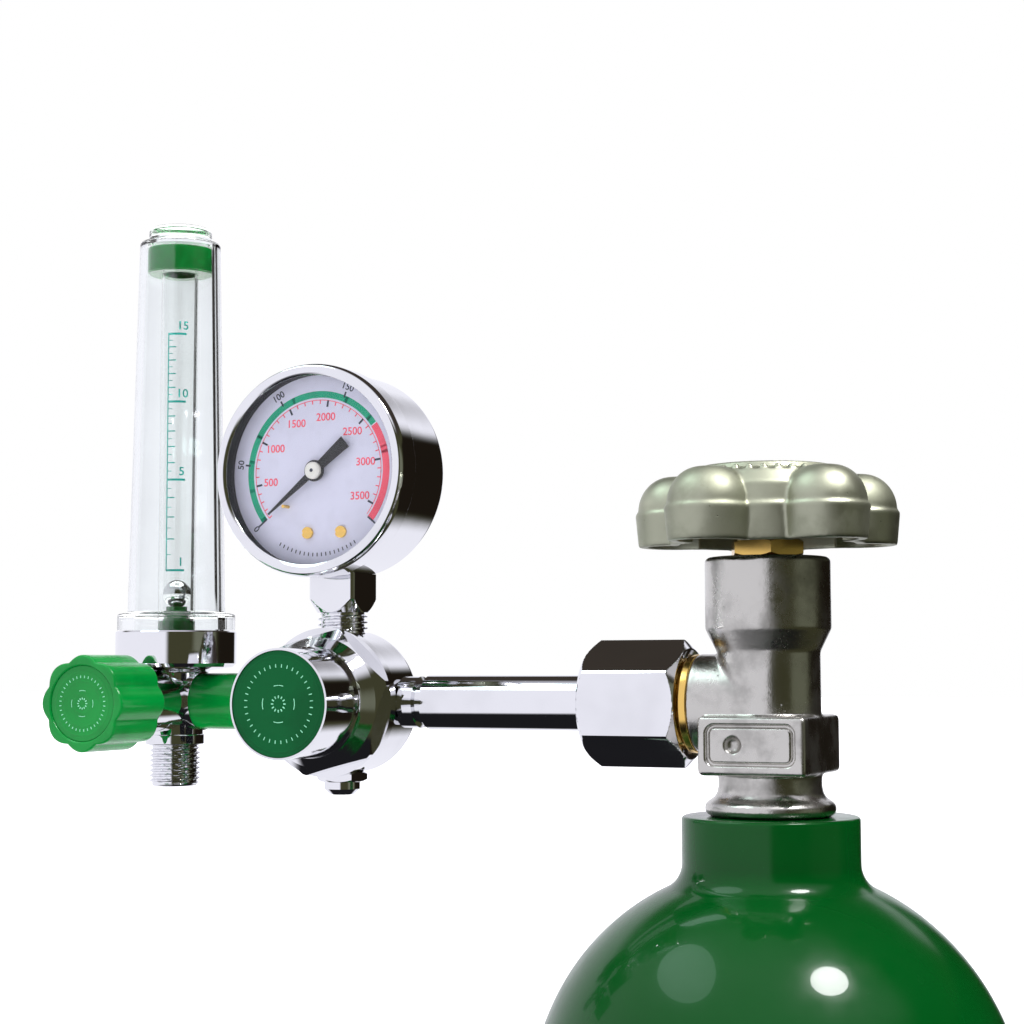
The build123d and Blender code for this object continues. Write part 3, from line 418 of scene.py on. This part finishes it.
def rounded(points, radius, steps=4):
    """The open line of points with each inner corner turned into a small curve."""
    points = [np.array(p, float) for p in points]
    line = [points[0]]
    for before, corner, after in zip(points, points[1:], points[2:]):
        back, ahead = before - corner, after - corner
        reach = min(radius, 0.45 * np.linalg.norm(back), 0.45 * np.linalg.norm(ahead))
        start = corner + back / max(np.linalg.norm(back), 1e-9) * reach
        end = corner + ahead / max(np.linalg.norm(ahead), 1e-9) * reach
        for step in range(steps + 1):
            t = step / steps
            line.append((1 - t) ** 2 * start + 2 * t * (1 - t) * corner + t * t * end)
    return line + [points[-1]]


def divided(points, step):
    """The line with extra points so that no run is longer than step."""
    line = [np.array(points[0], float)]
    for start, end in zip(points, points[1:]):
        start, end = np.array(start, float), np.array(end, float)
        count = max(1, math.ceil(np.linalg.norm(end - start) / step))
        line += [start + (end - start) * k / count for k in range(1, count + 1)]
    return line


def spun(name, outline, place, body, slot, shape=None, segments=144, closed=False, **options):
    """Turns an outline of (radius, height) points about the piece's own Z.
    shape(angle, radius, height) may change the radius all round. closed joins the outline's ends."""
    outline = np.array(outline, float)
    angles = np.linspace(0, 2 * math.pi, segments, endpoint=False)
    radius = np.repeat(outline[:, :1], segments, axis=1)
    height = np.repeat(outline[:, 1:], segments, axis=1)
    if shape:
        radius = shape(angles[None, :], radius, height)
    grid = np.stack([radius * np.cos(angles), radius * np.sin(angles), height], axis=-1)
    rows = len(outline)
    faces = []
    for row in range(rows if closed else rows - 1):
        up = (row + 1) % rows
        for side in range(segments):
            after = (side + 1) % segments
            here, above = row * segments, up * segments
            faces.append((here + side, here + after, above + after, above + side))
    return finished(name, grid.reshape(-1, 3), faces, place, body, slot, **options)


def polygon_distance(points, x, y):
    """Signed distance to a closed polygon, negative inside."""
    nearest = np.full(x.shape, 1e9)
    inside = np.zeros(x.shape, bool)
    for (ax, ay), (bx, by) in zip(points, points[1:] + points[:1]):
        ex, ey = bx - ax, by - ay
        along = np.clip(((x - ax) * ex + (y - ay) * ey) / (ex * ex + ey * ey), 0, 1)
        nearest = np.minimum(nearest, np.hypot(x - ax - along * ex, y - ay - along * ey))
        crosses = (ay > y) != (by > y)
        with np.errstate(divide="ignore", invalid="ignore"):
            inside ^= crosses & (x < (bx - ax) * (y - ay) / (by - ay if by != ay else 1e-12) + ax)
    return np.where(inside, -nearest, nearest)


def rod_distance(radial, height, radius, low, high):
    """Signed distance to a round rod."""
    side, end = radial - radius, np.maximum(low - height, height - high)
    return np.minimum(np.maximum(side, end), 0) + np.hypot(np.maximum(side, 0), np.maximum(end, 0))


def box_distance(x, y, z, half, edge=0.0):
    """Signed distance to a box about the origin with rounded edges."""
    q = [np.abs(v) - h + edge for v, h in zip((x, y, z), half)]
    outside = np.sqrt(sum(np.maximum(v, 0) ** 2 for v in q))
    return outside + np.minimum(np.maximum(np.maximum(q[0], q[1]), q[2]), 0) - edge


def blended(a, b, width):
    """The union of two distances with a soft crease of that width."""
    mix = np.clip(0.5 + 0.5 * (b - a) / width, 0, 1)
    return b + (a - b) * mix - width * mix * (1 - mix)


def carved(a, b, width):
    """a with b cut away, with a soft edge of that width."""
    return -blended(-a, b, width)


def softened(field, passes):
    """The field blurred a little, which rounds every edge and crease."""
    for _ in range(passes):
        for axis in range(3):
            moved = np.swapaxes(field, 0, axis)
            inner = 0.25 * moved[:-2] + 0.5 * moved[1:-1] + 0.25 * moved[2:]
            moved[1:-1] = inner
    return field


def field_grid(low, high, pitch):
    """Coordinates of a grid of points, as three arrays."""
    axes = [np.arange(a, b + pitch, pitch) for a, b in zip(low, high)]
    return np.meshgrid(*axes, indexing="ij")


def skin(field, x, y, z, pitch):
    """The zero surface of a field as vertices and quads, one vertex in each cell it crosses."""
    solid = field < 0
    corners = [(i, j, k) for i in (0, 1) for j in (0, 1) for k in (0, 1)]
    shape = tuple(n - 1 for n in field.shape)

    def cell(array, corner):
        return array[tuple(slice(c, c + n) for c, n in zip(corner, shape))]

    count = sum(cell(solid, c).astype(int) for c in corners)
    crossed = (count > 0) & (count < 8)
    number = -np.ones(shape, int)
    number[crossed] = np.arange(crossed.sum())
    total = np.zeros((crossed.sum(), 3))
    hits = np.zeros(crossed.sum())
    for a in corners:
        for b in corners:
            if sum(abs(p - q) for p, q in zip(a, b)) != 1 or a > b:
                continue
            va, vb = cell(field, a)[crossed], cell(field, b)[crossed]
            cut = (va < 0) != (vb < 0)
            share = np.where(cut, va / np.where(va == vb, 1, va - vb), 0)
            spot = np.array(a) + (np.array(b) - np.array(a)) * share[:, None]
            total += spot * cut[:, None]
            hits += cut
    base = np.stack([x[:-1, :-1, :-1][crossed], y[:-1, :-1, :-1][crossed], z[:-1, :-1, :-1][crossed]], axis=1)
    vertices = base + total / hits[:, None] * pitch
    faces = []
    for axis in range(3):
        one, two = [a for a in range(3) if a != axis]
        span = [slice(1, n) for n in shape]
        span[axis] = slice(0, shape[axis])
        start = solid[tuple(span)]
        ahead = list(span)
        ahead[axis] = slice(1, shape[axis] + 1)
        changed = start != solid[tuple(ahead)]
        spots = np.argwhere(changed)
        spots[:, one] += 1
        spots[:, two] += 1
        ring = []
        for d1, d2 in ((-1, -1), (0, -1), (0, 0), (-1, 0)):
            shifted = spots.copy()
            shifted[:, one] += d1
            shifted[:, two] += d2
            ring.append(number[tuple(shifted.T)])
        faces.append(np.stack(ring, axis=1))
    return vertices, np.concatenate(faces).tolist()


def thread_shape(root, crest, pitch, low, high, hand=1):
    """A shape for spun() that winds a screw thread between two heights."""

    def shape(angle, radius, height):
        turn = (height / pitch - hand * angle / (2 * math.pi)) % 1.0
        ridge = np.clip(1.45 - np.abs(turn - 0.5) * 4.2, 0, 1)
        fade = np.clip((height - low) / pitch, 0, 1) * np.clip((high - height) / pitch, 0, 1)
        wound = root + (crest - root) * ridge * np.clip(fade * 1.6, 0, 1)
        return np.where((height > low) & (height < high) & (radius > root - 0.4), wound, radius)
    return shape


def prism_shape(sides, flats, turn, low, high, rise, inside=0.0):
    """A shape for spun(): a bar with that many sides whose corners are turned down at its ends."""
    corner = flats / 2 / math.cos(math.pi / sides)

    def shape(angle, radius, height):
        lean = (angle - math.radians(turn) + math.pi / sides) % (2 * math.pi / sides) - math.pi / sides
        flat = flats / 2 / np.cos(lean)
        near = np.minimum(height - low, high - height)
        cone = flats / 2 * 0.985 + np.maximum(near, 0) * (corner - flats / 2 * 0.985) / rise
        return np.where(radius > inside, np.minimum(radius, np.minimum(flat, cone)), radius)
    return shape


# ---------------------------------------------------------------- detailed pieces


def arc(centre, radius, start, end, steps):
    """Points of a circle between two angles in degrees."""
    turns = np.radians(np.linspace(start, end, steps + 1))
    return [(centre[0] + radius * math.cos(t), centre[1] + radius * math.sin(t)) for t in turns]


def cylinder_skin():
    """The shell: hollow base, straight wall, round shoulder, swept neck, and its inside."""
    top = NECK / MM
    dome = top - 71.9
    bend = (29.0, dome + math.sqrt(67.0**2 - 29.0**2))
    lean = math.degrees(math.atan2(bend[1] - dome, bend[0]))
    outline = [(r, 4.0 - (290.0 - math.sqrt(290.0**2 - r * r))) for r in np.linspace(0, 48, 13)]
    outline += arc((50.0, 10.0), 10.0, -90, 0, 12)
    outline += [(60.0, h) for h in np.linspace(20, dome - 4, 24)]
    outline += arc((0, dome), 60.0, 0, lean, 48)
    outline += arc(bend, 7.0, 180 + lean, 180, 14)
    outline += rounded([(22.0, bend[1] + 0.5), (22.0, top), (13.2, top), (13.2, top - 16)], 1.0, 5)
    mouth = math.degrees(math.acos(13.2 / 56.0))
    outline += arc((0, dome), 56.0, mouth, 0, 24)
    outline += arc((46.0, 22.0), 10.0, 0, -90, 8) + [(0, 12.0)]
    spun("cylinder_skin", outline, Matrix.Identity(4), "cylinder", "green_paint", segments=224,
         nodes=["cylinder_shell"], weighted=False, sharp=50.0)


def valve_casting():
    """The forged and plated body: foot, waist, stamped block, column, side barrel and collar."""
    pitch = 0.4
    x, y, z = field_grid((-19.2, -17.6, -54.8), (17.2, 17.6, 37.6), pitch)
    radial = np.hypot(x, y)
    stamp_x, stamp_z = -4.5, -9.6  # the round punch mark in the sunk panel
    profile = [(0, -53.5), (11.5, -53.5), (13.0, -50.5), (13.0, -27.5), (14.6, -27.5), (15.7, -26.9)]
    profile += [(16.2, -25.8), (16.0, -24.6), (15.1, -23.7), (13.9, -23.0), (13.1, -21.8), (12.7, -19.8)]
    profile += [(12.8, -17.5), (12.8, 13.0), (15.6, 18.7), (15.6, 35.7)]
    profile += [(14.8, 36.5), (0, 36.5)]
    body = polygon_distance(profile, radial, z)
    barrel = rod_distance(np.hypot(y, z), -x, 12.5, 0, 17.8)
    block = box_distance(x, y, z + 9.9, (13.6, 16.4, 7.2), 1.2)
    body = blended(blended(body, barrel, 0.2), block, 0.6)
    body = softened(body, 1)
    panel = box_distance(x + 0.2, z + 9.7, 0 * y, (11.15, 5.0, 9.0), 2.2)
    pad = box_distance(x + 0.2, z + 9.7, 0 * y, (10.3, 4.2, 9.0), 1.6)
    floor_y = -15.35 - 0.8 * np.clip(0.5 - pad / 0.6, 0, 1)
    body = carved(body, np.maximum(panel, y - floor_y), 0.35)
    rim = np.hypot(np.hypot(x - stamp_x, z - stamp_z) - 2.7, y + 15.75) - 0.45
    body = blended(body, rim, 0.4)
    body = carved(body, np.sqrt((x - stamp_x) ** 2 + (y + 16.7) ** 2 + (z - stamp_z) ** 2) - 2.2, 0.3)
    for height in (-4.8, -6.9, -9.2, -11.3):
        nick = np.sqrt((x - 14.0) ** 2 + ((y - 1.0) * 1.3) ** 2 + ((z - height) / 1.3) ** 2) - 0.75
        body = carved(body, nick, 0.2)
    for bore in (
        rod_distance(radial, z, 8.0, 22.0, 40),
        rod_distance(radial, z, 6.95, 3.2, 22.2),
        rod_distance(radial, z, 6.0, -3.0, 3.4),
        rod_distance(radial, z, 2.4, -60, -2.8),
        rod_distance(np.hypot(y, z), -x, 3.0, 4.0, 20),
    ):
        body = np.maximum(body, -bore)
    vertices, faces = skin(body, x, y, z, pitch)
    finished("valve_casting", vertices, faces, AT_VALVE, "cylinder", "nickel", nodes=["valve_body"],
             sharp=0, weighted=False)


def wheel_casting():
    """The hollow cast handwheel: five domed lobes round a middle with a raised ring."""
    pitch = 0.42
    lobes, lobe_out, rear_lobe = 5, 23.6, 106.7
    knurls, knurl_r, ring_r = 36, 19.6, 16.4
    x, y, z = field_grid((-35.7, -35.7, 38.5), (35.7, 35.7, 61.0), pitch)
    radial = np.hypot(x, y)
    middle_outline = [(0, 39.6), (24.2, 39.6), (25.0, 48.2), (24.4, 48.9), (23.6, 53.6), (20.8, 57.0)]
    middle_outline += [(14.0, 58.6), (0, 58.6)]
    body = polygon_distance(middle_outline, radial, z)
    under = np.maximum(rod_distance(radial, z, 21.8, 30, 54.0), 8.5 - radial)
    for number in range(lobes):
        turn = math.radians(rear_lobe + 360 / lobes * number)
        out = np.hypot(x - lobe_out * math.cos(turn), y - lobe_out * math.sin(turn))
        skirt = polygon_distance([(0, 39.6), (10.1, 39.6), (10.9, 48.0), (10.1, 48.7), (0, 48.7)], out, z)
        dome = 9.0 * (np.hypot(np.maximum(out - 2.0, 0) / 8.2, np.maximum(z - 48.6, 0) / 9.1) - 1)
        dome = np.maximum(dome, 45.0 - z)
        lobe = np.minimum(skirt, dome)
        body = blended(body, lobe, 0.3)
        under = np.minimum(under, rod_distance(out, z, 7.7, 30, 52.0))
    body = softened(body, 1)
    ring = np.hypot(radial - ring_r, z - 58.1) - 1.1
    body = blended(body, ring, 0.6)
    share = (np.arctan2(y, x) * knurls / (2 * math.pi)) % 1.0
    nicks = np.abs(share - 0.5) * 2 * math.pi * knurl_r / knurls
    knurl = np.maximum(np.maximum(np.abs(radial - knurl_r) - 0.9, nicks - 0.7), np.abs(z - 57.3) - 0.9)
    body = blended(body, knurl, 0.5)
    under = np.minimum(under, rod_distance(radial, z, 9.0, 30, 43.0))
    square = np.maximum(np.maximum(np.abs(x), np.abs(y)) - 3.2, np.maximum(43.8 - z, z - 51.1))
    under = np.minimum(under, np.minimum(square, rod_distance(radial, z, 2.6, 42, 58)))
    under = np.minimum(under, rod_distance(radial, z, 8.0, 55.0, 70))
    body = carved(body, under, 0.3)
    vertices, faces = skin(body, x, y, z, pitch)
    finished("wheel_casting", vertices, faces, AT_VALVE, "handwheel", "wheel_metal", nodes=["handwheel"],
             sharp=0, weighted=False)


NUT_FLATS = 28.5
NUT_WALL = 3.5
NUT_CHAMFER = 1.9


def union_hexagon():
    """The polished union nut with turned-down corners and a bevelled bore."""
    near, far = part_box("union_nut")
    low, high = -far.x / MM, -near.x / MM
    inner = high - NUT_WALL
    outer = divided([(16.6, low), (16.6, low + 2.6)], 0.15) + [(16.6, low + 12), (16.6, high - 2.6)]
    outer += divided([(16.6, high - 2.6), (16.6, high)], 0.15)[1:]
    outline = [(13.6, low)] + outer + rounded([(13.5, high), (7.5, high), (7.5, inner), (11.5, inner)], 0.3)
    outline += rounded([(11.5, inner), (11.5, low + 1.2), (13.6, low)], 0.3)
    cap = prism_shape(6, NUT_FLATS, 30, low, high, NUT_CHAMFER, inside=14.0)

    def shape(angle, radius, height):
        return np.minimum(cap(angle, radius, height), np.where(radius > 14.0, 16.2, radius))

    spun("union_hexagon", outline, AT_OUTLET, "union_nut", "chrome", shape, segments=288, closed=True,
         nodes=["union_nut"], sharp=11.0)


def outlet_thread():
    """The bare brass outlet with its winding thread and conical seat."""
    thread = thread_shape(10.55, 11.45, 1.814, 21.4, 36.6)
    outline = rounded([(3.0, 17.8), (12.4, 17.8), (12.4, 19.9), (10.5, 20.5), (10.5, 21.3)], 0.35)
    outline += divided([(10.5, 21.4), (10.5, 36.6)], 0.13)
    outline += [(10.3, 36.9), (9.9, 37.0), (8.6, 37.0), (3.0, 27.0)]
    spun("outlet_thread", outline, AT_OUTLET, "cylinder", "bare_brass", thread, closed=True, segments=120,
         nodes=["valve_outlet"], sharp=40.0)


def hose_thread():
    """The flowmeter's outlet: collar, neck and tapered thread, bored through."""
    root, crest, pitch = 6.35, 7.12, 1.41
    wind = thread_shape(root, crest, pitch, -23.6, -12.7)

    def shape(angle, radius, height):
        wound = wind(angle, radius, height)
        limit = crest + 0.02 * (height + 24) + (height > -12.75) * 5
        return np.where(radius > 5.5, np.minimum(wound, limit), wound)

    outline = [(3.4, -24.0), (5.9, -24.0)] + rounded([(5.9, -24.0), (6.35, -23.7), (6.35, -23.5)], 0.1)
    outline += divided([(6.35, -23.5), (6.35, -12.75)], 0.12)
    outline += rounded([(6.4, -12.7), (8.3, -12.2), (8.3, -9.4), (5.0, -9.4), (5.0, -4.0), (2.0, -4.0)], 0.3)
    outline += [(2.0, -8.6), (3.4, -9.2)]
    spun("hose_thread", outline, AT_METER, "cylinder", "chrome", shape, closed=True, segments=120,
         nodes=["outlet_nipple"], sharp=40.0)


def gauge_shank():
    """The gauge's square shank with its corners turned down, above a pipe thread."""
    thread = thread_shape(6.0, 6.85, 1.6, 18.4, 24.3)
    square = prism_shape(4, 14.0, 0, 24.25, 60.0, 4.6, inside=6.9)

    def shape(angle, radius, height):
        barred = square(angle, np.minimum(radius, 9.3), height)
        return np.where(height > 24.3, barred, thread(angle, radius, height))

    outline = [(1.5, 12.6)] + rounded([(5.4, 12.6), (5.9, 13.4), (5.9, 18.0), (6.0, 18.3)], 0.3)
    outline += divided([(6.0, 18.35), (6.0, 24.3)], 0.12)
    outline += divided([(7.0, 24.35), (10.5, 24.4), (10.5, 30.0)], 0.25) + [(10.5, 35.0), (1.5, 35.0)]
    spun("gauge_shank", outline, AT_REGULATOR_UPRIGHT, "cylinder", "chrome", shape, closed=True, segments=192,
         nodes=["gauge_socket"], sharp=24.0)


def gauge_ring():
    """The rolled chrome ring that holds the window."""
    outline = rounded(
        [(28.0, 12.0), (28.7, 12.15), (28.7, 18.9), (28.0, 20.5), (26.6, 20.45), (25.2, 19.65), (26.35, 19.6),
         (26.35, 16.0), (28.0, 16.0), (28.0, 12.0)], 0.9, 8)
    spun("gauge_ring", outline, AT_GAUGE, "cylinder", "chrome", closed=True, segments=224,
         nodes=["gauge_bezel"], sharp=50.0)


def gauge_liner():
    """The black gasket between the dial and the window."""
    outline = rounded([(26.7, 14.1), (26.15, 14.1), (26.0, 16.0), (26.1, 18.0), (26.35, 18.0), (26.35, 15.9),
                       (26.7, 15.9)], 0.2)
    spun("gauge_liner", outline, AT_GAUGE, "cylinder", "black_rubber", closed=True, segments=160, sharp=50.0)


def knob_shell():
    """The lobed knob, open at the back, with a rim round its face."""
    def shape(angle, radius, height):
        valley = 1 - np.sqrt(np.cos(4 * angle) ** 2 + 0.012)
        soft = np.clip((radius - 10.4) / 1.6, 0, 1)
        return radius - 1.35 * valley * soft

    outline = [(0, 42.5), (10.1, 42.5)]
    outline += rounded([(10.1, 42.5), (10.1, 44.1), (12.9, 44.1), (12.9, 24.0), (10.0, 24.0)], 0.75, 6)
    outline += [(10.0, 39.9), (4.6, 39.9), (4.6, 24.0), (3.05, 24.0), (3.05, 38.0), (0, 38.0)]
    outline = divided(outline, 1.0)
    spun("knob_shell", outline, AT_KNOB, "flow_knob", "green_plastic", shape, segments=288,
         nodes=["flow_knob"], sharp=40.0)


def ringed_disc(name, place, body, slot, node, radius, low, face, ridges):
    """A disc with fine raised rings on its face."""
    outline = [(0, low), (radius, low)] + rounded([(radius, low), (radius, face), (radius - 1, face)], 0.25)
    for ridge in sorted(ridges, reverse=True):
        outline += [(ridge + 0.35, face), (ridge + 0.12, face + 0.1)]
        outline += [(ridge - 0.12, face + 0.1), (ridge - 0.35, face)]
    spun(name, outline + [(0, face)], place, body, slot, segments=128, nodes=[node], sharp=60.0)


# ---------------------------------------------------------------- printing


def slabs(name, polygons, low, high, place, body, slot, look, nodes=()):
    """Thin flat shapes standing on a plane, each given as (x, y) points."""
    vertices, faces = [], []
    for polygon in polygons:
        first, count = len(vertices), len(polygon)
        vertices += [(x, y, low) for x, y in polygon] + [(x, y, high) for x, y in polygon]
        faces.append(tuple(range(first + count - 1, first - 1, -1)))
        faces.append(tuple(range(first + count, first + 2 * count)))
        for k in range(count):
            after = (k + 1) % count
            faces.append((first + k, first + after, first + count + after, first + count + k))
    return finished(name, vertices, faces, place, body, slot, look=look, nodes=nodes, weighted=False)


def polar(angle, radius):
    """A point at an angle in degrees clockwise from the top."""
    return radius * math.sin(math.radians(angle)), radius * math.cos(math.radians(angle))


def band(start, end, inner, outer, step=2.0):
    """Short quadrilaterals that follow an arc."""
    edges = np.linspace(start, end, max(2, round(abs(end - start) / step) + 1))
    return [
        [polar(a, inner), polar(b, inner), polar(b, outer), polar(a, outer)] for a, b in zip(edges, edges[1:])
    ]


def tick(angle, inner, outer, width):
    """A radial mark."""
    x, y = polar(angle + 90, width / 2)
    (ax, ay), (bx, by) = polar(angle, inner), polar(angle, outer)
    return [(ax - x, ay - y), (ax + x, ay + y), (bx + x, by + y), (bx - x, by - y)]


def figures(name, labels, size, thick, place, body, slot, look, bend=None):
    """Raised numbers: each label is (text, x, y, turn in degrees)."""
    vertices, faces = [], []
    for text, x, y, turn in labels:
        curve = bpy.data.curves.new(name, "FONT")
        curve.body = text
        curve.size = size
        curve.extrude = thick / 2
        curve.offset = size * 0.012
        curve.align_x = curve.align_y = "CENTER"
        letter = bpy.data.objects.new(name, curve)
        mesh = bpy.data.meshes.new_from_object(letter)
        first = len(vertices)
        cosine, sine = math.cos(math.radians(turn)), math.sin(math.radians(turn))
        for v in mesh.vertices:
            px, py = v.co.x * cosine - v.co.y * sine + x, v.co.x * sine + v.co.y * cosine + y
            vertices.append((px, py, v.co.z + thick / 2))
        faces += [tuple(first + i for i in p.vertices) for p in mesh.polygons]
        bpy.data.objects.remove(letter)
        bpy.data.curves.remove(curve)
        bpy.data.meshes.remove(mesh)
    if bend:
        vertices = [bend(v) for v in vertices]
    return finished(name, vertices, faces, place, body, slot, look=look, weighted=False)


GREEN_INK = printed("green_ink", (0.0, 0.36, 0.20), 0.4)
RED_INK = printed("red_ink", (0.90, 0.10, 0.16), 0.4)
BLACK_INK = printed("black_ink", (0.03, 0.035, 0.06), 0.4)
TEAL_INK = printed("teal_ink", (0.0, 0.42, 0.36), 0.4)
PALE_INK = printed("pale_ink", (0.22, 0.62, 0.40), 0.4)
ZERO = -128.4  # the pointer's stop, in degrees clockwise from the top
SCALE_START = -136.3  # where the pressure scale would begin
POUNDS = 36.45 / 500  # degrees for each pound per square inch
BARS = 14.504 * POUNDS


def dial_printing():
    """Pressure scales: a green and a red band, pounds inside and bars outside."""
    face, top = 14.0, 14.05
    at = (AT_GAUGE, "cylinder", "dial_print")
    paper = AT_GAUGE @ Matrix.Translation((0, 0, face * MM))
    slabs("dial_green_band", band(ZERO, 54.6, 20.0, 21.8), face, top, *at, GREEN_INK)
    slabs("dial_red_band", band(55.4, 129.6, 19.9, 21.9), face, top, *at, RED_INK)
    marks = band(ZERO, -ZERO, 19.25, 19.45)
    long_marks = []
    for step in range(1, 36):
        angle = SCALE_START + 100 * step * POUNDS
        if step % 5:
            marks.append(tick(angle, 18.3, 19.4, 0.3))
        else:
            long_marks.append(tick(angle, 17.6, 19.4, 0.55))
    slabs("dial_red_marks", marks, face, top + 0.01, *at, RED_INK)
    slabs("dial_long_marks", long_marks, face, top + 0.02, *at, BLACK_INK)
    bars = [tick(SCALE_START + BARS * bar, 21.2, 22.8, 0.5) for bar in (50, 100, 150)]
    bars += [tick(end, 20.0, 23.4, 0.5) for end in (ZERO, 129.6)]
    bars += [tick(180 + 3.4 * n, 22.0, 23.0, 0.3) for n in range(-9, 10)]
    slabs("dial_black_marks", bars, top - 0.01, top + 0.03, *at, BLACK_INK)
    inner = [(str(500 * n), *polar(SCALE_START + 500 * n * POUNDS, 14.8), 0) for n in range(1, 8)]
    figures("dial_red_figures", inner, 2.95, 0.05, paper, *at[1:], RED_INK)
    outer = [("0", *polar(ZERO, 24.3), -ZERO - 180)]
    for bar in (50, 100, 150):
        angle = SCALE_START + BARS * bar
        outer.append((str(bar), *polar(angle, 24.2), -angle))
    figures("dial_black_figures", outer, 2.6, 0.05, paper, *at[1:], BLACK_INK)
    hub = -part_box("pointer_hub")[0].y / MM
    dot = [polar(a, 0.5) for a in range(0, 360, 15)]
    slabs("hub_dot", [dot], hub - 0.02, hub + 0.03, AT_GAUGE, "gauge_pointer", "black_paint", BLACK_INK)


def needle_blade():
    """The pointer: a long taper, a round boss and a broad tail, turned back to zero."""
    turn = math.radians(-ZERO)
    side = [(0.22, 18.2), (0.95, 2.6), (1.25, -2.4), (1.8, -12.0)]
    blade = [(-x, y) for x, y in side] + side[::-1]
    boss = [(2.9 * math.cos(t), 2.9 * math.sin(t)) for t in np.linspace(0, 2 * math.pi, 64, endpoint=False)]
    cos, sin = math.cos(turn), math.sin(turn)
    turned = [(x * cos - y * sin, x * sin + y * cos) for x, y in blade[::-1]]
    at = (AT_GAUGE, "gauge_pointer", "black_paint", LOOKS["black_paint"])
    slabs("needle_blade", [turned], 15.72, 16.08, *at, nodes=["gauge_pointer"])
    slabs("needle_boss", [boss], 15.66, 16.14, *at)


def flow_scale():
    """The flow scale printed on the tube: an upright line, marks and four numbers."""
    radius = 5.3
    facing = math.radians(30.0)
    first_mark, rise, crowding = 37.0, 67.9, 0.77

    def bend(vertex):
        across, up, out = vertex
        angle = facing + across / radius
        return (radius + out) * math.sin(angle), -(radius + out) * math.cos(angle), up

    def height(flow):
        return first_mark + rise * ((flow - 1) / 14) ** crowding

    marks = []
    for flow in range(1, 16):
        bold = flow in (1, 5, 10, 15)
        marks.append((-3.0, 2.3 if bold else -0.6, height(flow), 0.62 if bold else 0.34))
        if flow < 15:
            marks.append((-3.0, -1.5, (height(flow) + height(flow + 1)) / 2, 0.2))
    vertices, faces = [], []
    strips = [(-3.0, -2.65, 37.0, 104.9)] + [(a, b, h - w / 2, h + w / 2) for a, b, h, w in marks]
    for left, right, low, high in strips:
        count = max(1, math.ceil((right - left) / 0.5))
        rows = [(left + (right - left) * k / count, h, out) for k in range(count + 1)
                for h, out in ((low, 0), (high, 0), (high, 0.05), (low, 0.05))]
        first = len(vertices)
        vertices += [bend(v) for v in rows]
        for k in range(count):
            for side in range(4):
                a, b = first + 4 * k + side, first + 4 * k + (side + 1) % 4
                faces.append((a, b, b + 4, a + 4))
        last = first + 4 * count
        faces += [(first + 3, first + 2, first + 1, first), (last, last + 1, last + 2, last + 3)]
    finished("flow_marks", vertices, faces, AT_METER, "cylinder", "clear_tube", look=TEAL_INK, weighted=False)
    labels = [(str(flow), 1.3, height(flow) + 2.3, 0) for flow in (1, 5, 10, 15)]
    figures("flow_figures", labels, 3.4, 0.05, AT_METER, "cylinder", "clear_tube", TEAL_INK, bend=bend)


def face_printing():
    """Plain rings of short dashes on the knob and on the regulator's disc."""
    for name, place, body, slot, face, scale in (
        ("knob_dashes", AT_KNOB, "flow_knob", "green_plastic", 43.6, 0.72),
        ("label_dashes", AT_REGULATOR, "cylinder", "green_label", 33.9, 1.0),
    ):
        dashes = []
        for step in range(36):
            dashes.append(tick(10 * step + 5, 9.4 * scale, 10.3 * scale, 0.22))
        for quarter in range(4):
            dashes += band(90 * quarter - 17, 90 * quarter + 17, 4.7 * scale, 4.9 * scale, 4.0)
        for step in range(12):
            dashes.append(tick(30 * step, 1.5 * scale, 2.2 * scale, 0.3))
        slabs(name, dashes, face, face + 0.05, place, body, slot, PALE_INK)


cylinder_skin()
valve_casting()
wheel_casting()
union_hexagon()
outlet_thread()
hose_thread()
gauge_shank()
gauge_ring()
gauge_liner()
knob_shell()
ringed_disc(
    "knob_disc", AT_KNOB, "flow_knob", "green_plastic", "knob_insert", 10.1, 42.5, 43.6, [8.4, 6.0, 2.6]
)
ringed_disc("label_disc", AT_REGULATOR, "cylinder", "green_label", "label_cap", 13.9, 31.3, 33.9, [12.4])
dial_printing()
needle_blade()
flow_scale()
face_printing()

bpy.context.scene.view_settings.view_transform = "Standard"
camera()
studio_world()
studio_lamps()
floor()
dress()
